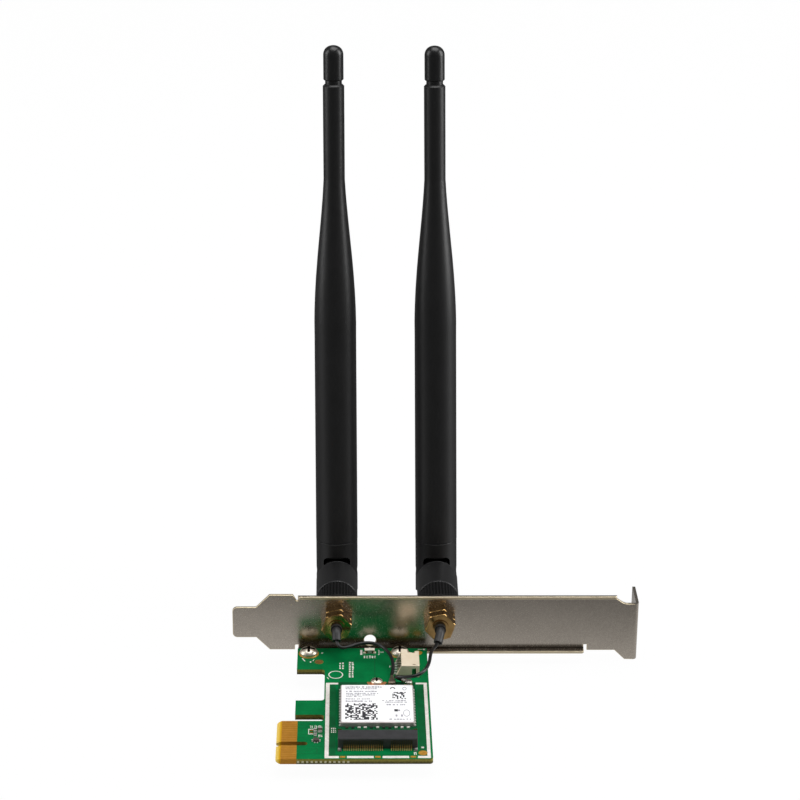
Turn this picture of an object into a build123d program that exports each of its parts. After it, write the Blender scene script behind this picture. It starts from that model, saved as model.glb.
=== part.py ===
from build123d import *
import os
from math import cos, tan, radians, pi

# A slot card with two swivel antennas. X runs along the slot bracket, from its tongue to its
# screw tab. Y runs out through the bracket. Z rises from the component side of the board.
# The origin is the middle of the key notch, at the tip of the edge contacts, halfway through
# the board.

# Fits
running_gap = 0.05        # radial, round pieces in their holes
hinge_gap = 0.15          # each side of the hinge tongue
turning_gap = 0.3         # between a turning face and what it passes
plug_in_gap = 0.1         # each side of a board in its socket

# Circuit board
board_thick = 1.6
board_right = 43.0
board_back = 54.0         # edge beside the bracket
board_front = -8.15       # edge furthest from the bracket
contact_tab_side = 12.15  # edge of the contact tab that faces the bracket
ear_edge = 4.9            # tips of the two ears
recess_edge = 13.0        # bottom of the recesses between ears and tab
lower_ear_low = 15.5
lower_ear_high = 23.5
upper_ear_low = 41.3
inner_corner = 1.0
tip_corner = 1.3
board_corner = 1.0        # front corner on the right
notch_wide = 1.9
notch_deep = 8.6
bevel_long = 1.4
bevel_deep = 0.45

# Edge contacts
contact_pitch = 1.0
contact_wide = 0.7
contact_end = 5.7         # where the bare contacts stop and the green lacquer starts
contact_first = 1.5       # first contact's distance from the middle of the notch
contacts_above = 11       # on the bracket's side of the notch
contacts_below = 7
plating_thick = 0.04

# Slot bracket, one sheet of steel
sheet = 0.86
bend_inside = 0.4         # inner radius of every fold
bracket_face = 57.15      # inner face, from the middle of the notch
bracket_length = 120.02
bracket_wide = 18.42
tongue_end = -14.34
tongue_wide = 9.9
tongue_long = 6.94
tongue_corner = 1.4
flare_long = 4.0
lip_start = 5.0
relief_wide = 1.5         # of the cut beside the upper lip, at its mouth
relief_foot = 0.5         # and at its bottom
relief_deep = 1.9
relief_round = 0.45
edge_step = 0.3           # flat's lower edge, above the underside of the lower lip
top_lip_back = 6.73       # end of the upper lip, back from the end of the bracket
low_lip_back = 15.98
low_relief_wide = 1.0
top_lip_deep = 1.2
low_lip_deep = 2.2
lip_corner = 0.7
screw_tab_deep = 11.43
screw_tab_wide = 18.5
screw_tab_drop = 3.05     # how far the screw tab reaches below the bracket's long edge
screw_tab_corner = 0.3
shoulder_back = 4.28      # where the upper edge reaches the screw tab's height
shoulder_round = 3.0
screw_notch_wide = 4.42
screw_notch_out = 7.2     # centre of the notch from the inner face
screw_notch_deep = 5.6    # centre of the notch from the tab's lower edge
light_hole_wide = 3.5
light_hole_x = 26.25
light_hole_z = 1.75
board_tab_wide = 6.2
board_tab_past = 4.2      # reach of a board tab past its screw
board_tab_corner = 1.5

# Bracket screws
screw_x = (8.2, 35.0)
screw_y = 50.8
screw_shank_wide = 2.9
screw_head_wide = 5.2
screw_head_high = 1.9
head_rim_share = 0.35     # straight part of a pan head's height
head_crown_share = 0.38   # of the head's width, where its crown pulls round
screw_long = 3.4          # under the head
screw_hole_wide = 3.2     # in the board
cross_wide = 0.7
cross_long = 3.0
cross_deep = 0.9
ring_pad_wide = 5.9

# Small round and square pads
round_pads = ((11.3, 45.8), (40.3, -5.1), (40.35, 51.2))
round_pad_wide = 2.5
edge_pad_x = (18.3, 27.95, 37.6)
edge_pad_y = -7.1
edge_pad_size = (1.5, 0.9)

# Module, its socket and its screw
module_x = 27.95          # middle of module and socket
module_end = 30.0         # far edge, through the middle of the screw
module_long = 30.0
module_wide = 22.0
module_thick = 0.8
module_lift = 1.45        # under the module
module_tongue_wide = 19.85
module_tongue_long = 4.0
module_notch_wide = 3.5
module_key_x = 30.7
module_key_wide = 1.2
module_key_deep = 2.9
module_pad_wide = 5.6
shield_low = 5.2
shield_high = 26.2
shield_wide = 20.6
shield_tall = 1.3
shield_skin = 0.25
shield_round = 0.4
label_margin = 0.3
label_thick = 0.06
socket_front = -2.8
socket_rear = 2.1
socket_tall = 3.2
socket_corner = 0.4
socket_pitch = 0.5
socket_contact_count = 38
socket_key_gap = (22, 26)     # contacts left out at the key, from and up to
socket_end = 1.59         # past the contacts, at each end
socket_brow = 0.55        # solid strip above the pockets that the contacts stand in
socket_pocket_deep = 0.45
socket_contact_wide = 0.22
socket_contact_thick = 0.15
socket_contact_high = 2.4
socket_foot_long = 1.2
clip_size = (1.1, 1.6, 0.25)
standoff_wide = 4.4
standoff_foot_wide = 2.6
module_screw_head_wide = 3.4
module_screw_head_high = 0.95
module_screw_shank_wide = 1.9
module_screw_long = 2.1
module_cross = (0.45, 1.9, 0.5)

# Coax receptacles, plugs and pigtails
receptacle_x = (32.3, 37.0)
receptacle_y = 28.2
receptacle_size = (2.2, 2.2, 0.35)
plug_wide = 2.1
plug_high = 1.15
plug_barrel_wide = 1.05
plug_barrel_long = (3.3, 2.2)
plug_shoulder_long = 2.0  # sloping sides from the head down to the barrel
plug_shoulder_wide = (1.9, 1.3)
plug_shoulder_high = 0.8
plug_shoulder_lift = 0.1
plug_turn = (90.0, 142.0) # heading of each barrel, from +X towards +Y
cable_wide = 1.0
plug_lead = (1.6, 0.9)    # straight run of each pigtail out of its plug
sleeve_lead = 0.5         # straight run of a pigtail out of its sleeve's mouth
arc_share = 0.45          # of the shorter run beside it, that an arc takes up

# Jacks through the bracket
jack_x = (16.35, 46.75)
jack_z = 9.0
jack_thread_wide = 6.35
jack_reach = 8.9          # end of the barrel, from the inner face
jack_bore_wide = 4.6
jack_bore_deep = 5.0
jack_hex_wide = 8.0       # across flats
jack_hex_thick = 3.0
jack_hex_turn = 12.0
hex_slope = 0.6           # of the corner's overhang, for the turned-down edges
jack_boss_wide = 5.1
jack_boss_long = 0.4
jack_nut_thick = 2.8
washer_wide = 9.6
washer_thick = 0.5
outer_nut_thick = 2.0
jack_contact_wide = 1.4
jack_contact_bore = 0.95
jack_contact_reach = 2.6  # past the insulator
jack_hole_wide = 6.55

# Shrink sleeves
sleeve_wide = 2.6
sleeve_collar_wide = 3.3
sleeve_round = 2.0
sleeve_bore_wide = 1.7
sleeve_bore_deep = 1.2
sleeve_bend_y = (48.8, 48.6)
sleeve_mouth = ((16.40, 46.7, 7.25), (45.95, 45.8, 7.1))

# Routes of the two pigtails, between their straight runs out of sleeve and plug
left_route = (
    (17.65, 44.75, 5.90),
    (19.70, 45.70, 5.80),
    (22.60, 47.60, 5.80),
    (25.90, 48.50, 5.80),
    (28.90, 47.40, 5.60),
    (31.00, 44.80, 5.30),
    (32.30, 41.40, 5.00),
    (32.80, 37.90, 4.60),
    (32.70, 34.80, 4.15),
)
right_route = (
    (44.05, 41.20, 7.40),
    (43.45, 37.10, 7.80),
    (43.10, 33.00, 8.00),
    (42.25, 29.45, 7.90),
    (40.65, 27.15, 7.50),
    (38.65, 26.35, 7.00),
    (36.40, 26.65, 6.50),
    (34.40, 27.70, 6.00),
    (33.50, 28.77, 5.46),
    (33.29, 29.57, 5.01),
    (33.72, 30.13, 4.37),
)

# Header for an inner lead
header_left = 35.2
header_right = 40.4
header_front = 37.4
header_back = 46.3
header_tall = 3.3
header_wall = 0.8
header_roof = 0.6
header_mouth_deep = 3.7
header_ear_long = 1.5
header_window = (38.2, 39.5)
header_window_tall = 2.5  # from the board up
header_notch = (37.1, 39.2)   # open top of the far wall
header_block_wide = 1.9   # boss behind the far wall
header_block_long = 1.2
header_slot_size = (1.0, 0.4)
header_pitch = 1.5
header_pins_count = 5
header_pin_middle = 41.5
header_pin_wide = 0.5
header_pin_z = 1.75       # above the board
header_tail_long = 2.0
header_tab_size = (1.8, 0.9, 0.25)

# Status light, facing the light hole
led_x = 26.1
led_y = 51.4
led_size = (2.95, 1.4, 1.15)
led_lens_wide = 1.0
led_lens_long = 0.8
led_foot_size = (0.7, 0.5, 0.5)

# Small soldered parts: middle x, middle y, along x, along y, tall
chip_places = (
    (10.65, 6.5, 0.8, 1.6, 0.5),
    (12.0, 6.6, 1.2, 2.3, 0.6),
    (10.75, 4.1, 0.8, 1.4, 0.5),
    (11.0, 1.4, 1.6, 1.5, 0.6),
)
module_chip_size = (0.8, 0.5, 0.35)
module_chip_count = 11
module_chip_pitch = 1.7
module_chip_y = 4.4

# Antennas, measured out along the jack's axis from the bracket's inner face
nut_start = 3.8
nut_end = 12.0
nut_wide = 12.3
nut_ribs = 40
nut_groove_wide = 0.5
nut_chamber_wide = 8.6
nut_shoulder_thick = 1.2
collar_wide = 8.2
collar_thick = 1.5
neck_wide = 6.0
elbow_start = 12.15
elbow_end = 25.4
elbow_wide = 12.5
elbow_foot_wide = 12.3
elbow_chamfer = 0.45
pivot_out = 32.0
tongue_disc_wide = 9.2
hinge_tongue_thick = 7.8
hinge_pin_wide = 2.5
hinge_pin_long = 11.6
tongue_chamfer = 1.0
antenna_pin_wide = 0.85
antenna_pin_reach = 4.0
rest_lean = 8.0           # of each mast, back from upright
rest_swivel = (-0.4, -0.75)   # of each antenna, about its jack

# Mast, measured along it from the hinge pin
fork_wide = 12.6
fork_slot_end = 5.6
fork_slot_corner = 1.5
fork_seam = 0.3           # sloping edge under the mast
mast_start = 10.15
fork_spigot_end = 15.2
mast_foot_wide = 12.66
mast_taper_start = (6.24, 74.0)      # radius and length
mast_taper = ((6.07, 84.7), (5.24, 96.9), (4.09, 108.9))
mast_taper_end = (3.14, 121.3)
mast_end = 149.2
mast_wall = 1.25
mast_seam = 0.08
mast_rim = 0.5
tip_end = 160.5
tip_wide = 5.9
tip_neck_wide = 4.9
tip_neck_long = 1.15
tip_spigot_long = 4.0
tip_edge = 0.3
tip_dome_share = 0.95     # dome's height over the cap's radius
tip_dome_pull = (0.6, 0.6)    # how far its curve keeps upright, and keeps level at the top
radiator_wide = 1.2
radiator_sleeve_wide = 3.4
radiator_sleeve = (42.0, 76.0)
radiator_end = 112.0

# Worked out from the sizes above
board_top = board_thick / 2
board_low = -board_thick / 2
pad_top = board_top + plating_thick
bracket_low = board_low - sheet
bracket_high = bracket_low + bracket_wide
bracket_outside = bracket_face + sheet
bracket_end = tongue_end + bracket_length
top_lip_end = bracket_end - top_lip_back
low_lip_end = bracket_end - low_lip_back
shoulder_end = bracket_end - shoulder_back
fold = bend_inside + sheet
bracket_middle = bracket_low + bracket_wide / 2
tab_low = bracket_low - screw_tab_drop
tab_high = tab_low + screw_tab_wide
module_low = board_top + module_lift
module_top = module_low + module_thick
module_tip = module_end - module_long
shield_top = module_top + shield_tall
socket_row = socket_pitch * (socket_contact_count - 1) + socket_contact_wide
socket_wide = socket_row + 2 * socket_end
socket_pocket_back = socket_front + socket_pocket_deep
receptacle_top = module_top + receptacle_size[2]
plug_z = receptacle_top + plug_high / 2
jack_back = -jack_nut_thick - jack_hex_thick
sides = ("left", "right")
mast_bore = mast_foot_wide / 2 - mast_wall
mast_top = mast_taper_end[0]
top_bore = mast_top - mast_wall


def box(x, y, z, size):
    # A box of that size, standing on z, centred on x and y.
    return Pos(x, y, z) * Box(*size, align=(Align.CENTER, Align.CENTER, Align.MIN))


def post(x, y, z, wide, tall):
    # An upright cylinder standing on z.
    return Pos(x, y, z) * Cylinder(wide / 2, tall, align=(Align.CENTER, Align.CENTER, Align.MIN))


def upright(drawing, y):
    # Stands a drawing up in the X and Z plane at y.
    return Plane(origin=(0, y, 0), x_dir=(1, 0, 0), z_dir=(0, -1, 0)) * drawing


def turned(points):
    # Turns a half section of (radius, length) points about the Y axis.
    return revolve(make_face(Polyline(*points, close=True)), Axis.Y)


def on_jack(shape, index):
    # Places a piece that was made around the Y axis, with length counted from the inner face.
    return Pos(jack_x[index], bracket_face, jack_z) * shape


def on_elbow(shape, index):
    # As on_jack, turned about the jack to where the antenna rests.
    return on_jack(Rot(0, rest_swivel[index], 0) * shape, index)


def on_hinge(shape, index):
    # Places a mast piece, made along Y from its hinge pin, at its resting lean.
    return on_elbow(Pos(0, pivot_out, 0) * Rot(90 - rest_lean, 0, 0) * shape, index)


def hex_nut(start, end):
    # A hex bar about the Y axis with its corners turned down at both ends.
    flat = jack_hex_wide / 2
    corner = flat / cos(pi / 6)
    edge = (corner - flat) * hex_slope
    drawing = RegularPolygon(flat, 6, major_radius=False, rotation=jack_hex_turn)
    bar = extrude(upright(drawing, start), amount=start - end)
    return bar & turned(
        (
            (0, start),
            (flat, start),
            (corner, start + edge),
            (corner, end - edge),
            (flat, end),
            (0, end),
        )
    )


def bore(wide, start, end):
    # A plain cylinder about the Y axis, for holes and pins.
    return turned(((0, start), (wide / 2, start), (wide / 2, end), (0, end)))


def cross_recess(x, y, top, wide, long, deep):
    return box(x, y, top - deep, (wide, long, deep)) + box(x, y, top - deep, (long, wide, deep))


def pan_screw(x, y, seat, shank_wide, long, head_wide, head_high, cross):
    # The head's crown is a shallow dome over a short straight rim.
    rim = head_high * head_rim_share
    half = make_face(
        [
            Polyline(
                (0, head_high),
                (0, -long),
                (shank_wide / 2, -long),
                (shank_wide / 2, 0),
                (head_wide / 2, 0),
                (head_wide / 2, rim),
            ),
            Bezier((head_wide / 2, rim), (head_wide * head_crown_share, head_high), (0, head_high)),
        ]
    )
    screw = Pos(x, y, seat) * revolve(Plane.XZ * half, Axis.Z)
    return screw - cross_recess(x, y, seat + head_high, *cross)


def circuit_board():
    outline = make_face(
        Polyline(
            (0, board_front),
            (board_right, board_front),
            (board_right, board_back),
            (ear_edge, board_back),
            (ear_edge, upper_ear_low),
            (recess_edge, upper_ear_low),
            (recess_edge, lower_ear_high),
            (ear_edge, lower_ear_high),
            (ear_edge, lower_ear_low),
            (recess_edge, lower_ear_low),
            (recess_edge, contact_tab_side),
            (0, contact_tab_side),
            close=True,
        )
    )
    tips = outline.vertices().group_by(Axis.X)[0]
    outline = fillet(tips, tip_corner)
    corner = outline.vertices().sort_by_distance((board_right, board_front))[0]
    outline = fillet(corner, board_corner)
    recesses = [v for v in outline.vertices() if abs(v.X - recess_edge) < running_gap]
    outline = fillet(recesses, inner_corner)
    notch_centre = notch_deep - notch_wide / 2
    notch = Pos(notch_centre / 2, 0) * Rectangle(notch_centre, notch_wide)
    notch += Pos(notch_centre, 0) * Circle(notch_wide / 2)
    board = extrude(Pos(0, 0, board_low) * (outline - notch), amount=board_thick)
    wedge = make_face(
        Polyline((0, board_top), (bevel_long, board_top), (0, board_top - bevel_deep), close=True)
    )
    bevel = extrude(upright(wedge, board_front), amount=board_front - contact_tab_side)
    board -= bevel
    board -= mirror(bevel, Plane.XY)
    for x in screw_x:
        board -= post(x, screw_y, board_low, screw_hole_wide, board_thick)
    board -= post(module_x, module_end, board_low, standoff_foot_wide + 2 * running_gap, board_thick)
    return board


def edge_contacts():
    rows = [contact_first + contact_pitch * n for n in range(contacts_above)]
    rows += [-contact_first - contact_pitch * n for n in range(contacts_below)]
    long = contact_end - bevel_long
    size = (long, contact_wide, plating_thick)
    pads = []
    for y in rows:
        pads.append(box(bevel_long + long / 2, y, board_top, size))
        pads.append(box(bevel_long + long / 2, y, board_low - plating_thick, size))
    return Compound(pads)


def board_pads():
    pads = []
    for x in screw_x:
        ring = Circle(ring_pad_wide / 2) - Circle(screw_hole_wide / 2)
        pads.append(Pos(x, screw_y, board_top) * extrude(ring, amount=plating_thick))
    for x, y in round_pads:
        pads.append(post(x, y, board_top, round_pad_wide, plating_thick))
    for x in edge_pad_x:
        pads.append(box(x, edge_pad_y, board_top, (*edge_pad_size, plating_thick)))
    return Compound(pads)


def bracket_plate():
    # The flat of the bracket, up to where its lips and screw tab start to bend.
    flat_low = bracket_low + edge_step
    tongue_middle = (flat_low + bracket_high) / 2
    tongue_low = tongue_middle - tongue_wide / 2
    tongue_high = tongue_middle + tongue_wide / 2
    flare = tongue_end + tongue_long
    wide_from = flare + flare_long
    plate_end = bracket_end - fold
    outline = make_face(
        Polyline(
            (tongue_end, tongue_low),
            (flare, tongue_low),
            (wide_from, flat_low),
            (lip_start - low_relief_wide, flat_low),
            (lip_start - low_relief_wide, bracket_low + relief_deep),
            (lip_start, bracket_low + relief_deep),
            (lip_start, bracket_low + fold),
            (low_lip_end, bracket_low + fold),
            (low_lip_end, bracket_low + relief_deep),
            (low_lip_end + low_relief_wide, bracket_low + relief_deep),
            (low_lip_end + low_relief_wide, bracket_low),
            (top_lip_end, bracket_low),
            (top_lip_end + screw_tab_drop, tab_low),
            (plate_end, tab_low),
            (plate_end, tab_high),
            (shoulder_end, tab_high),
            (top_lip_end, bracket_high - fold),
            (lip_start, bracket_high - fold),
            (lip_start, bracket_high - relief_deep),
            (lip_start - relief_foot, bracket_high - relief_deep),
            (lip_start - relief_wide, bracket_high),
            (wide_from, bracket_high),
            (flare, tongue_high),
            (tongue_end, tongue_high),
            close=True,
        )
    )
    ends = outline.vertices().group_by(Axis.X)[0]
    outline = fillet(ends, tongue_corner)
    shoulder = outline.vertices().sort_by_distance((shoulder_end, tab_high))[0]
    outline = fillet(shoulder, shoulder_round)
    low_relief = (lip_start - low_relief_wide, bracket_low + relief_deep)
    inner = outline.vertices().sort_by_distance(low_relief)[0]
    outline = fillet(inner, relief_round)
    holes = Pos(light_hole_x, light_hole_z) * Circle(light_hole_wide / 2)
    for x in jack_x:
        holes += Pos(x, jack_z) * Circle(jack_hole_wide / 2)
    return extrude(upright(outline - holes, bracket_face), amount=-sheet)


def long_lip(start, end, bend_z, deep, upward):
    # A quarter bend along one long edge, and the flat lip that it turns inwards.
    turn = 90 if upward else -90
    middle = (start + end) / 2
    strip = Plane(origin=(middle, bracket_face + sheet / 2, bend_z)) * Rectangle(end - start, sheet)
    axis = Axis((middle, bracket_face - bend_inside, bend_z), (1, 0, 0))
    bend = revolve(strip, axis, turn)
    low = bend_z + bend_inside if upward else bend_z - fold
    front = bracket_face - deep
    flat_long = deep - bend_inside
    flat = box(middle, front + flat_long / 2, low, (end - start, flat_long, sheet))
    corners = flat.edges().filter_by(Axis.Z).group_by(Axis.Y)[0]
    return bend + fillet(corners, lip_corner)


def screw_tab():
    # Bends outwards at the end of the bracket, with an open notch for the chassis screw.
    bend_x = bracket_end - fold
    middle = (tab_low + tab_high) / 2
    strip = Plane(origin=(bend_x, bracket_face + sheet / 2, middle), z_dir=(1, 0, 0), x_dir=(0, 1, 0))
    axis = Axis((bend_x, bracket_outside + bend_inside, middle), (0, 0, 1))
    bend = revolve(strip * Rectangle(sheet, screw_tab_wide), axis, 90)
    start = bracket_outside + bend_inside
    long = bracket_face + screw_tab_deep - start
    flat = box(bracket_end - sheet / 2, start + long / 2, tab_low, (sheet, long, screw_tab_wide))
    corners = flat.edges().filter_by(Axis.X).group_by(Axis.Y)[-1]
    flat = fillet(corners, screw_tab_corner)
    centre = (bend_x, bracket_face + screw_notch_out, tab_low + screw_notch_deep)
    notch = Plane(origin=centre, z_dir=(1, 0, 0), x_dir=(0, 1, 0))
    opening = Circle(screw_notch_wide / 2)
    opening += Pos(0, -screw_notch_deep / 2) * Rectangle(screw_notch_wide, screw_notch_deep)
    return bend + flat - extrude(notch * opening, amount=2 * fold)


def board_tab(x):
    # Reaches from the lower lip under the board to its screw.
    low = board_low - sheet
    front = screw_y - board_tab_past
    back = bracket_face - bend_inside
    tab = box(x, (front + back) / 2, low, (board_tab_wide, back - front, sheet))
    tab = fillet(tab.edges().filter_by(Axis.Z).group_by(Axis.Y)[0], board_tab_corner)
    return tab - post(x, screw_y, low, screw_shank_wide + 2 * running_gap, sheet)


def slot_bracket():
    bracket = bracket_plate()
    bracket += long_lip(lip_start, top_lip_end, bracket_high - fold, top_lip_deep, True)
    bracket += long_lip(lip_start, low_lip_end, bracket_low + fold, low_lip_deep, False)
    for x in screw_x:
        bracket += board_tab(x)
    return bracket + screw_tab()


def bracket_screws():
    cross = (cross_wide, cross_long, cross_deep)
    shank = (screw_shank_wide, screw_long)
    head = (screw_head_wide, screw_head_high)
    return Compound([pan_screw(x, screw_y, pad_top, *shank, *head, cross) for x in screw_x])


def status_led():
    # A side-facing light: block, round lens towards the bracket, two solder feet.
    wide, deep, tall = led_size
    led = box(led_x, led_y, board_top, led_size)
    lens = turned(
        (
            (0, 0),
            (led_lens_wide / 2, 0),
            (led_lens_wide / 2, deep / 2 + led_lens_long / 2),
            (led_lens_wide / 4, deep / 2 + led_lens_long),
            (0, deep / 2 + led_lens_long),
        )
    )
    led += Pos(led_x, led_y, board_top + tall / 2) * lens
    for side in (-1, 1):
        led += box(led_x + side * wide / 2, led_y - deep / 2, board_top, led_foot_size)
    return led


def chip_parts():
    return Compound([box(x, y, board_top, (wide, long, tall)) for x, y, wide, long, tall in chip_places])


def module_board():
    tongue = module_tip + module_tongue_long
    body = Pos(module_x, (tongue + module_end) / 2) * Rectangle(module_wide, module_end - tongue)
    body += Pos(module_x, (module_tip + tongue) / 2) * Rectangle(module_tongue_wide, module_tongue_long)
    body -= Pos(module_x, module_end) * Circle(module_notch_wide / 2)
    body -= Pos(module_key_x, module_tip) * Rectangle(module_key_wide, 2 * module_key_deep)
    return extrude(Pos(0, 0, module_low) * body, amount=module_thick)


def module_pad():
    # Bare copper half ring around the screw notch.
    ring = Pos(module_x, module_end) * (Circle(module_pad_wide / 2) - Circle(module_notch_wide / 2))
    ring &= Pos(module_x, module_end - module_pad_wide / 2) * Rectangle(module_pad_wide, module_pad_wide)
    return extrude(Pos(0, 0, module_top) * ring, amount=plating_thick)


def module_shield():
    # A drawn can, open underneath.
    long = shield_high - shield_low
    y = (shield_high + shield_low) / 2
    can = box(module_x, y, module_top, (shield_wide, long, shield_tall))
    can = fillet(can.edges().filter_by(Axis.Z), shield_round)
    can = fillet(can.faces().sort_by(Axis.Z)[-1].edges(), shield_skin)
    inside = (shield_wide - 2 * shield_skin, long - 2 * shield_skin, shield_tall - shield_skin)
    return can - box(module_x, y, module_top, inside)


def module_label():
    long = shield_high - shield_low - 2 * label_margin
    y = (shield_high + shield_low) / 2
    label = box(module_x, y, shield_top, (shield_wide - 2 * label_margin, long, label_thick))
    return fillet(label.edges().filter_by(Axis.Z), shield_round)


def module_chips():
    # A row of tiny parts between the shield and the socket.
    chips = []
    for n in range(module_chip_count):
        x = module_x + (n - (module_chip_count - 1) / 2) * module_chip_pitch
        chips.append(box(x, module_chip_y, module_top, module_chip_size))
    return Compound(chips)


def socket_columns():
    # Middles of the contacts along the socket, in a group at each side of its key.
    first = module_x - socket_pitch * (socket_contact_count - 1) / 2
    columns = [first + socket_pitch * n for n in range(socket_contact_count)]
    left_out, next_in = socket_key_gap
    return columns[:left_out], columns[next_in:]


def module_socket():
    y = (socket_front + socket_rear) / 2
    size = (socket_wide, socket_rear - socket_front, socket_tall)
    body = box(module_x, y, board_top, size)
    body = chamfer(body.edges().filter_by(Axis.X).group_by(Axis.Z)[-1], socket_corner / 2)
    body = fillet(body.edges().filter_by(Axis.Z), socket_corner)
    mouth_low = module_low - plug_in_gap
    mouth_end = module_tip - plug_in_gap
    mouth_deep = socket_rear - mouth_end
    mouth_tall = module_thick + 2 * plug_in_gap
    mouth_wide = module_tongue_wide + 2 * plug_in_gap
    mouth_size = (mouth_wide, mouth_deep, mouth_tall)
    mouth = box(module_x, mouth_end + mouth_deep / 2, mouth_low, mouth_size)
    rib_wide = module_key_wide - 2 * plug_in_gap
    rib_deep = mouth_deep - plug_in_gap
    rib_size = (rib_wide, rib_deep, mouth_tall)
    rib = box(module_key_x, mouth_end + rib_deep / 2, mouth_low, rib_size)
    body -= mouth - rib
    for group in socket_columns():
        wide = group[-1] - group[0] + socket_pitch
        middle = (group[0] + group[-1]) / 2
        pocket = (wide, 2 * socket_pocket_deep, socket_tall - socket_brow)
        body -= box(middle, socket_front, board_top, pocket)
    return body


def socket_contacts():
    # Gold tails in the front of the socket, each bent out onto the board.
    thick = socket_contact_thick
    high = socket_contact_high
    section = make_face(
        Polyline(
            (socket_pocket_back, board_top),
            (socket_front - socket_foot_long, board_top),
            (socket_front - socket_foot_long, board_top + thick),
            (socket_pocket_back - thick, board_top + thick),
            (socket_pocket_back - thick, board_top + high),
            (socket_pocket_back, board_top + high),
            close=True,
        )
    )
    upright_section = Plane(origin=(0, 0, 0), x_dir=(0, 1, 0), z_dir=(1, 0, 0)) * section
    tail = extrude(upright_section, amount=socket_contact_wide)
    tails = []
    for group in socket_columns():
        tails += [Pos(x - socket_contact_wide / 2, 0, 0) * tail for x in group]
    return Compound(tails)


def socket_clips():
    offset = socket_wide / 2 - clip_size[0] / 2
    y = socket_front - clip_size[1] / 2
    return Compound([box(module_x + side * offset, y, board_top, clip_size) for side in (-1, 1)])


def module_standoff():
    stand = post(module_x, module_end, board_top, standoff_wide, module_lift)
    stand += post(module_x, module_end, board_low, standoff_foot_wide, board_thick)
    hole = module_screw_shank_wide + 2 * running_gap
    return stand - post(module_x, module_end, board_low, hole, board_thick + module_lift)


def module_screw():
    seat = module_top + plating_thick
    shank = (module_screw_shank_wide, module_screw_long)
    head = (module_screw_head_wide, module_screw_head_high)
    return pan_screw(module_x, module_end, seat, *shank, *head, module_cross)


def module_receptacles():
    return Compound([box(x, receptacle_y, module_top, receptacle_size) for x in receptacle_x])


def plug_heading(index):
    return Vector(1, 0, 0).rotate(Axis.Z, plug_turn[index])


def plug_end(index):
    # The point where a pigtail meets its plug's barrel.
    middle = Vector(receptacle_x[index], receptacle_y, plug_z)
    return middle + plug_heading(index) * plug_barrel_long[index]


def coax_plug(index):
    # A round snap-on head, sloping shoulders, and the crimped barrel.
    head = post(0, 0, receptacle_top, plug_wide, plug_high)
    head = fillet(head.edges().filter_by(GeomType.CIRCLE).group_by(Axis.Z)[-1], plug_high / 4)
    wide, slim = plug_shoulder_wide
    shoulder = make_face(
        Polyline(
            (0, -wide / 2),
            (plug_shoulder_long, -slim / 2),
            (plug_shoulder_long, slim / 2),
            (0, wide / 2),
            close=True,
        )
    )
    shoulder = Pos(0, 0, receptacle_top + plug_shoulder_lift) * shoulder
    head += extrude(shoulder, amount=plug_shoulder_high)
    head = Pos(receptacle_x[index], receptacle_y, 0) * Rot(0, 0, plug_turn[index]) * head
    barrel_plane = Plane(origin=plug_end(index), z_dir=plug_heading(index))
    return head + extrude(barrel_plane * Circle(plug_barrel_wide / 2), amount=-plug_barrel_long[index])


def sleeve_points(index):
    # From the back of the jack, down to the sleeve's mouth.
    x = jack_x[index]
    start = Vector(x, bracket_face + jack_back - jack_boss_long, jack_z)
    bend = Vector(x, sleeve_bend_y[index], jack_z)
    return start, bend, Vector(*sleeve_mouth[index])


def sleeve_heading(index):
    bend, mouth = sleeve_points(index)[1:]
    return (mouth - bend).normalized()


def sleeve(index):
    # Shrunk tight on the jack, and open at the mouth where the pigtail comes out.
    points = sleeve_points(index)
    path = FilletPolyline(*points, radius=sleeve_round)
    start = Plane(origin=points[0], z_dir=points[1] - points[0])
    tube = sweep(start * Circle(sleeve_wide / 2), path=path)
    collar_long = (points[1] - points[0]).length / 2
    tube += extrude(start * Circle(sleeve_collar_wide / 2), amount=collar_long)
    mouth = Plane(origin=points[2], z_dir=sleeve_heading(index))
    return tube - extrude(mouth * Circle(sleeve_bore_wide / 2), amount=-sleeve_bore_deep)


def pigtail(route, index):
    # A plain tube along straight runs and tangent arcs, each arc as large as its runs allow.
    mouth = Vector(*sleeve_mouth[index])
    heading = sleeve_heading(index)
    end = plug_end(index)
    points = [mouth - heading * sleeve_bore_deep, mouth + heading * sleeve_lead]
    points += [Vector(*p) for p in route]
    points += [end + plug_heading(index) * plug_lead[index], end]
    radii = []
    for a, b, c in zip(points, points[1:], points[2:]):
        turn = (b - a).get_angle(c - b)
        shorter = min((b - a).length, (c - b).length)
        radii.append(arc_share * shorter / tan(radians(turn / 2)))
    path = FilletPolyline(*points, radius=radii)
    tube = sweep(Plane(origin=path @ 0, z_dir=path % 0) * Circle(cable_wide / 2), path=path)
    share = tube.volume / (path.length * pi * cable_wide**2 / 4)
    print(sides[index], "pigtail radii", [round(r, 2) for r in radii])
    print(sides[index], "pigtail length", round(path.length, 2), "volume share", round(share, 4))
    return tube


def jack(index):
    body = hex_nut(jack_back, -jack_nut_thick)
    body += bore(jack_boss_wide, jack_back - jack_boss_long, jack_back)
    body += bore(jack_thread_wide, -jack_nut_thick, jack_reach)
    body -= bore(jack_bore_wide, jack_reach - jack_bore_deep, jack_reach)
    body -= bore(jack_contact_wide + 2 * running_gap, 0, jack_reach)
    return on_jack(body, index)


def jack_insulator(index):
    start = jack_reach - jack_bore_deep
    ring = bore(jack_bore_wide, start, start + jack_contact_reach / 2)
    ring -= bore(jack_contact_wide, start, jack_reach)
    return on_jack(ring, index)


def jack_contact(index):
    end = jack_reach - jack_bore_deep + jack_contact_reach
    pin = bore(jack_contact_wide, 0, end) - bore(jack_contact_bore, end - jack_contact_reach, end)
    return on_jack(pin, index)


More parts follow.
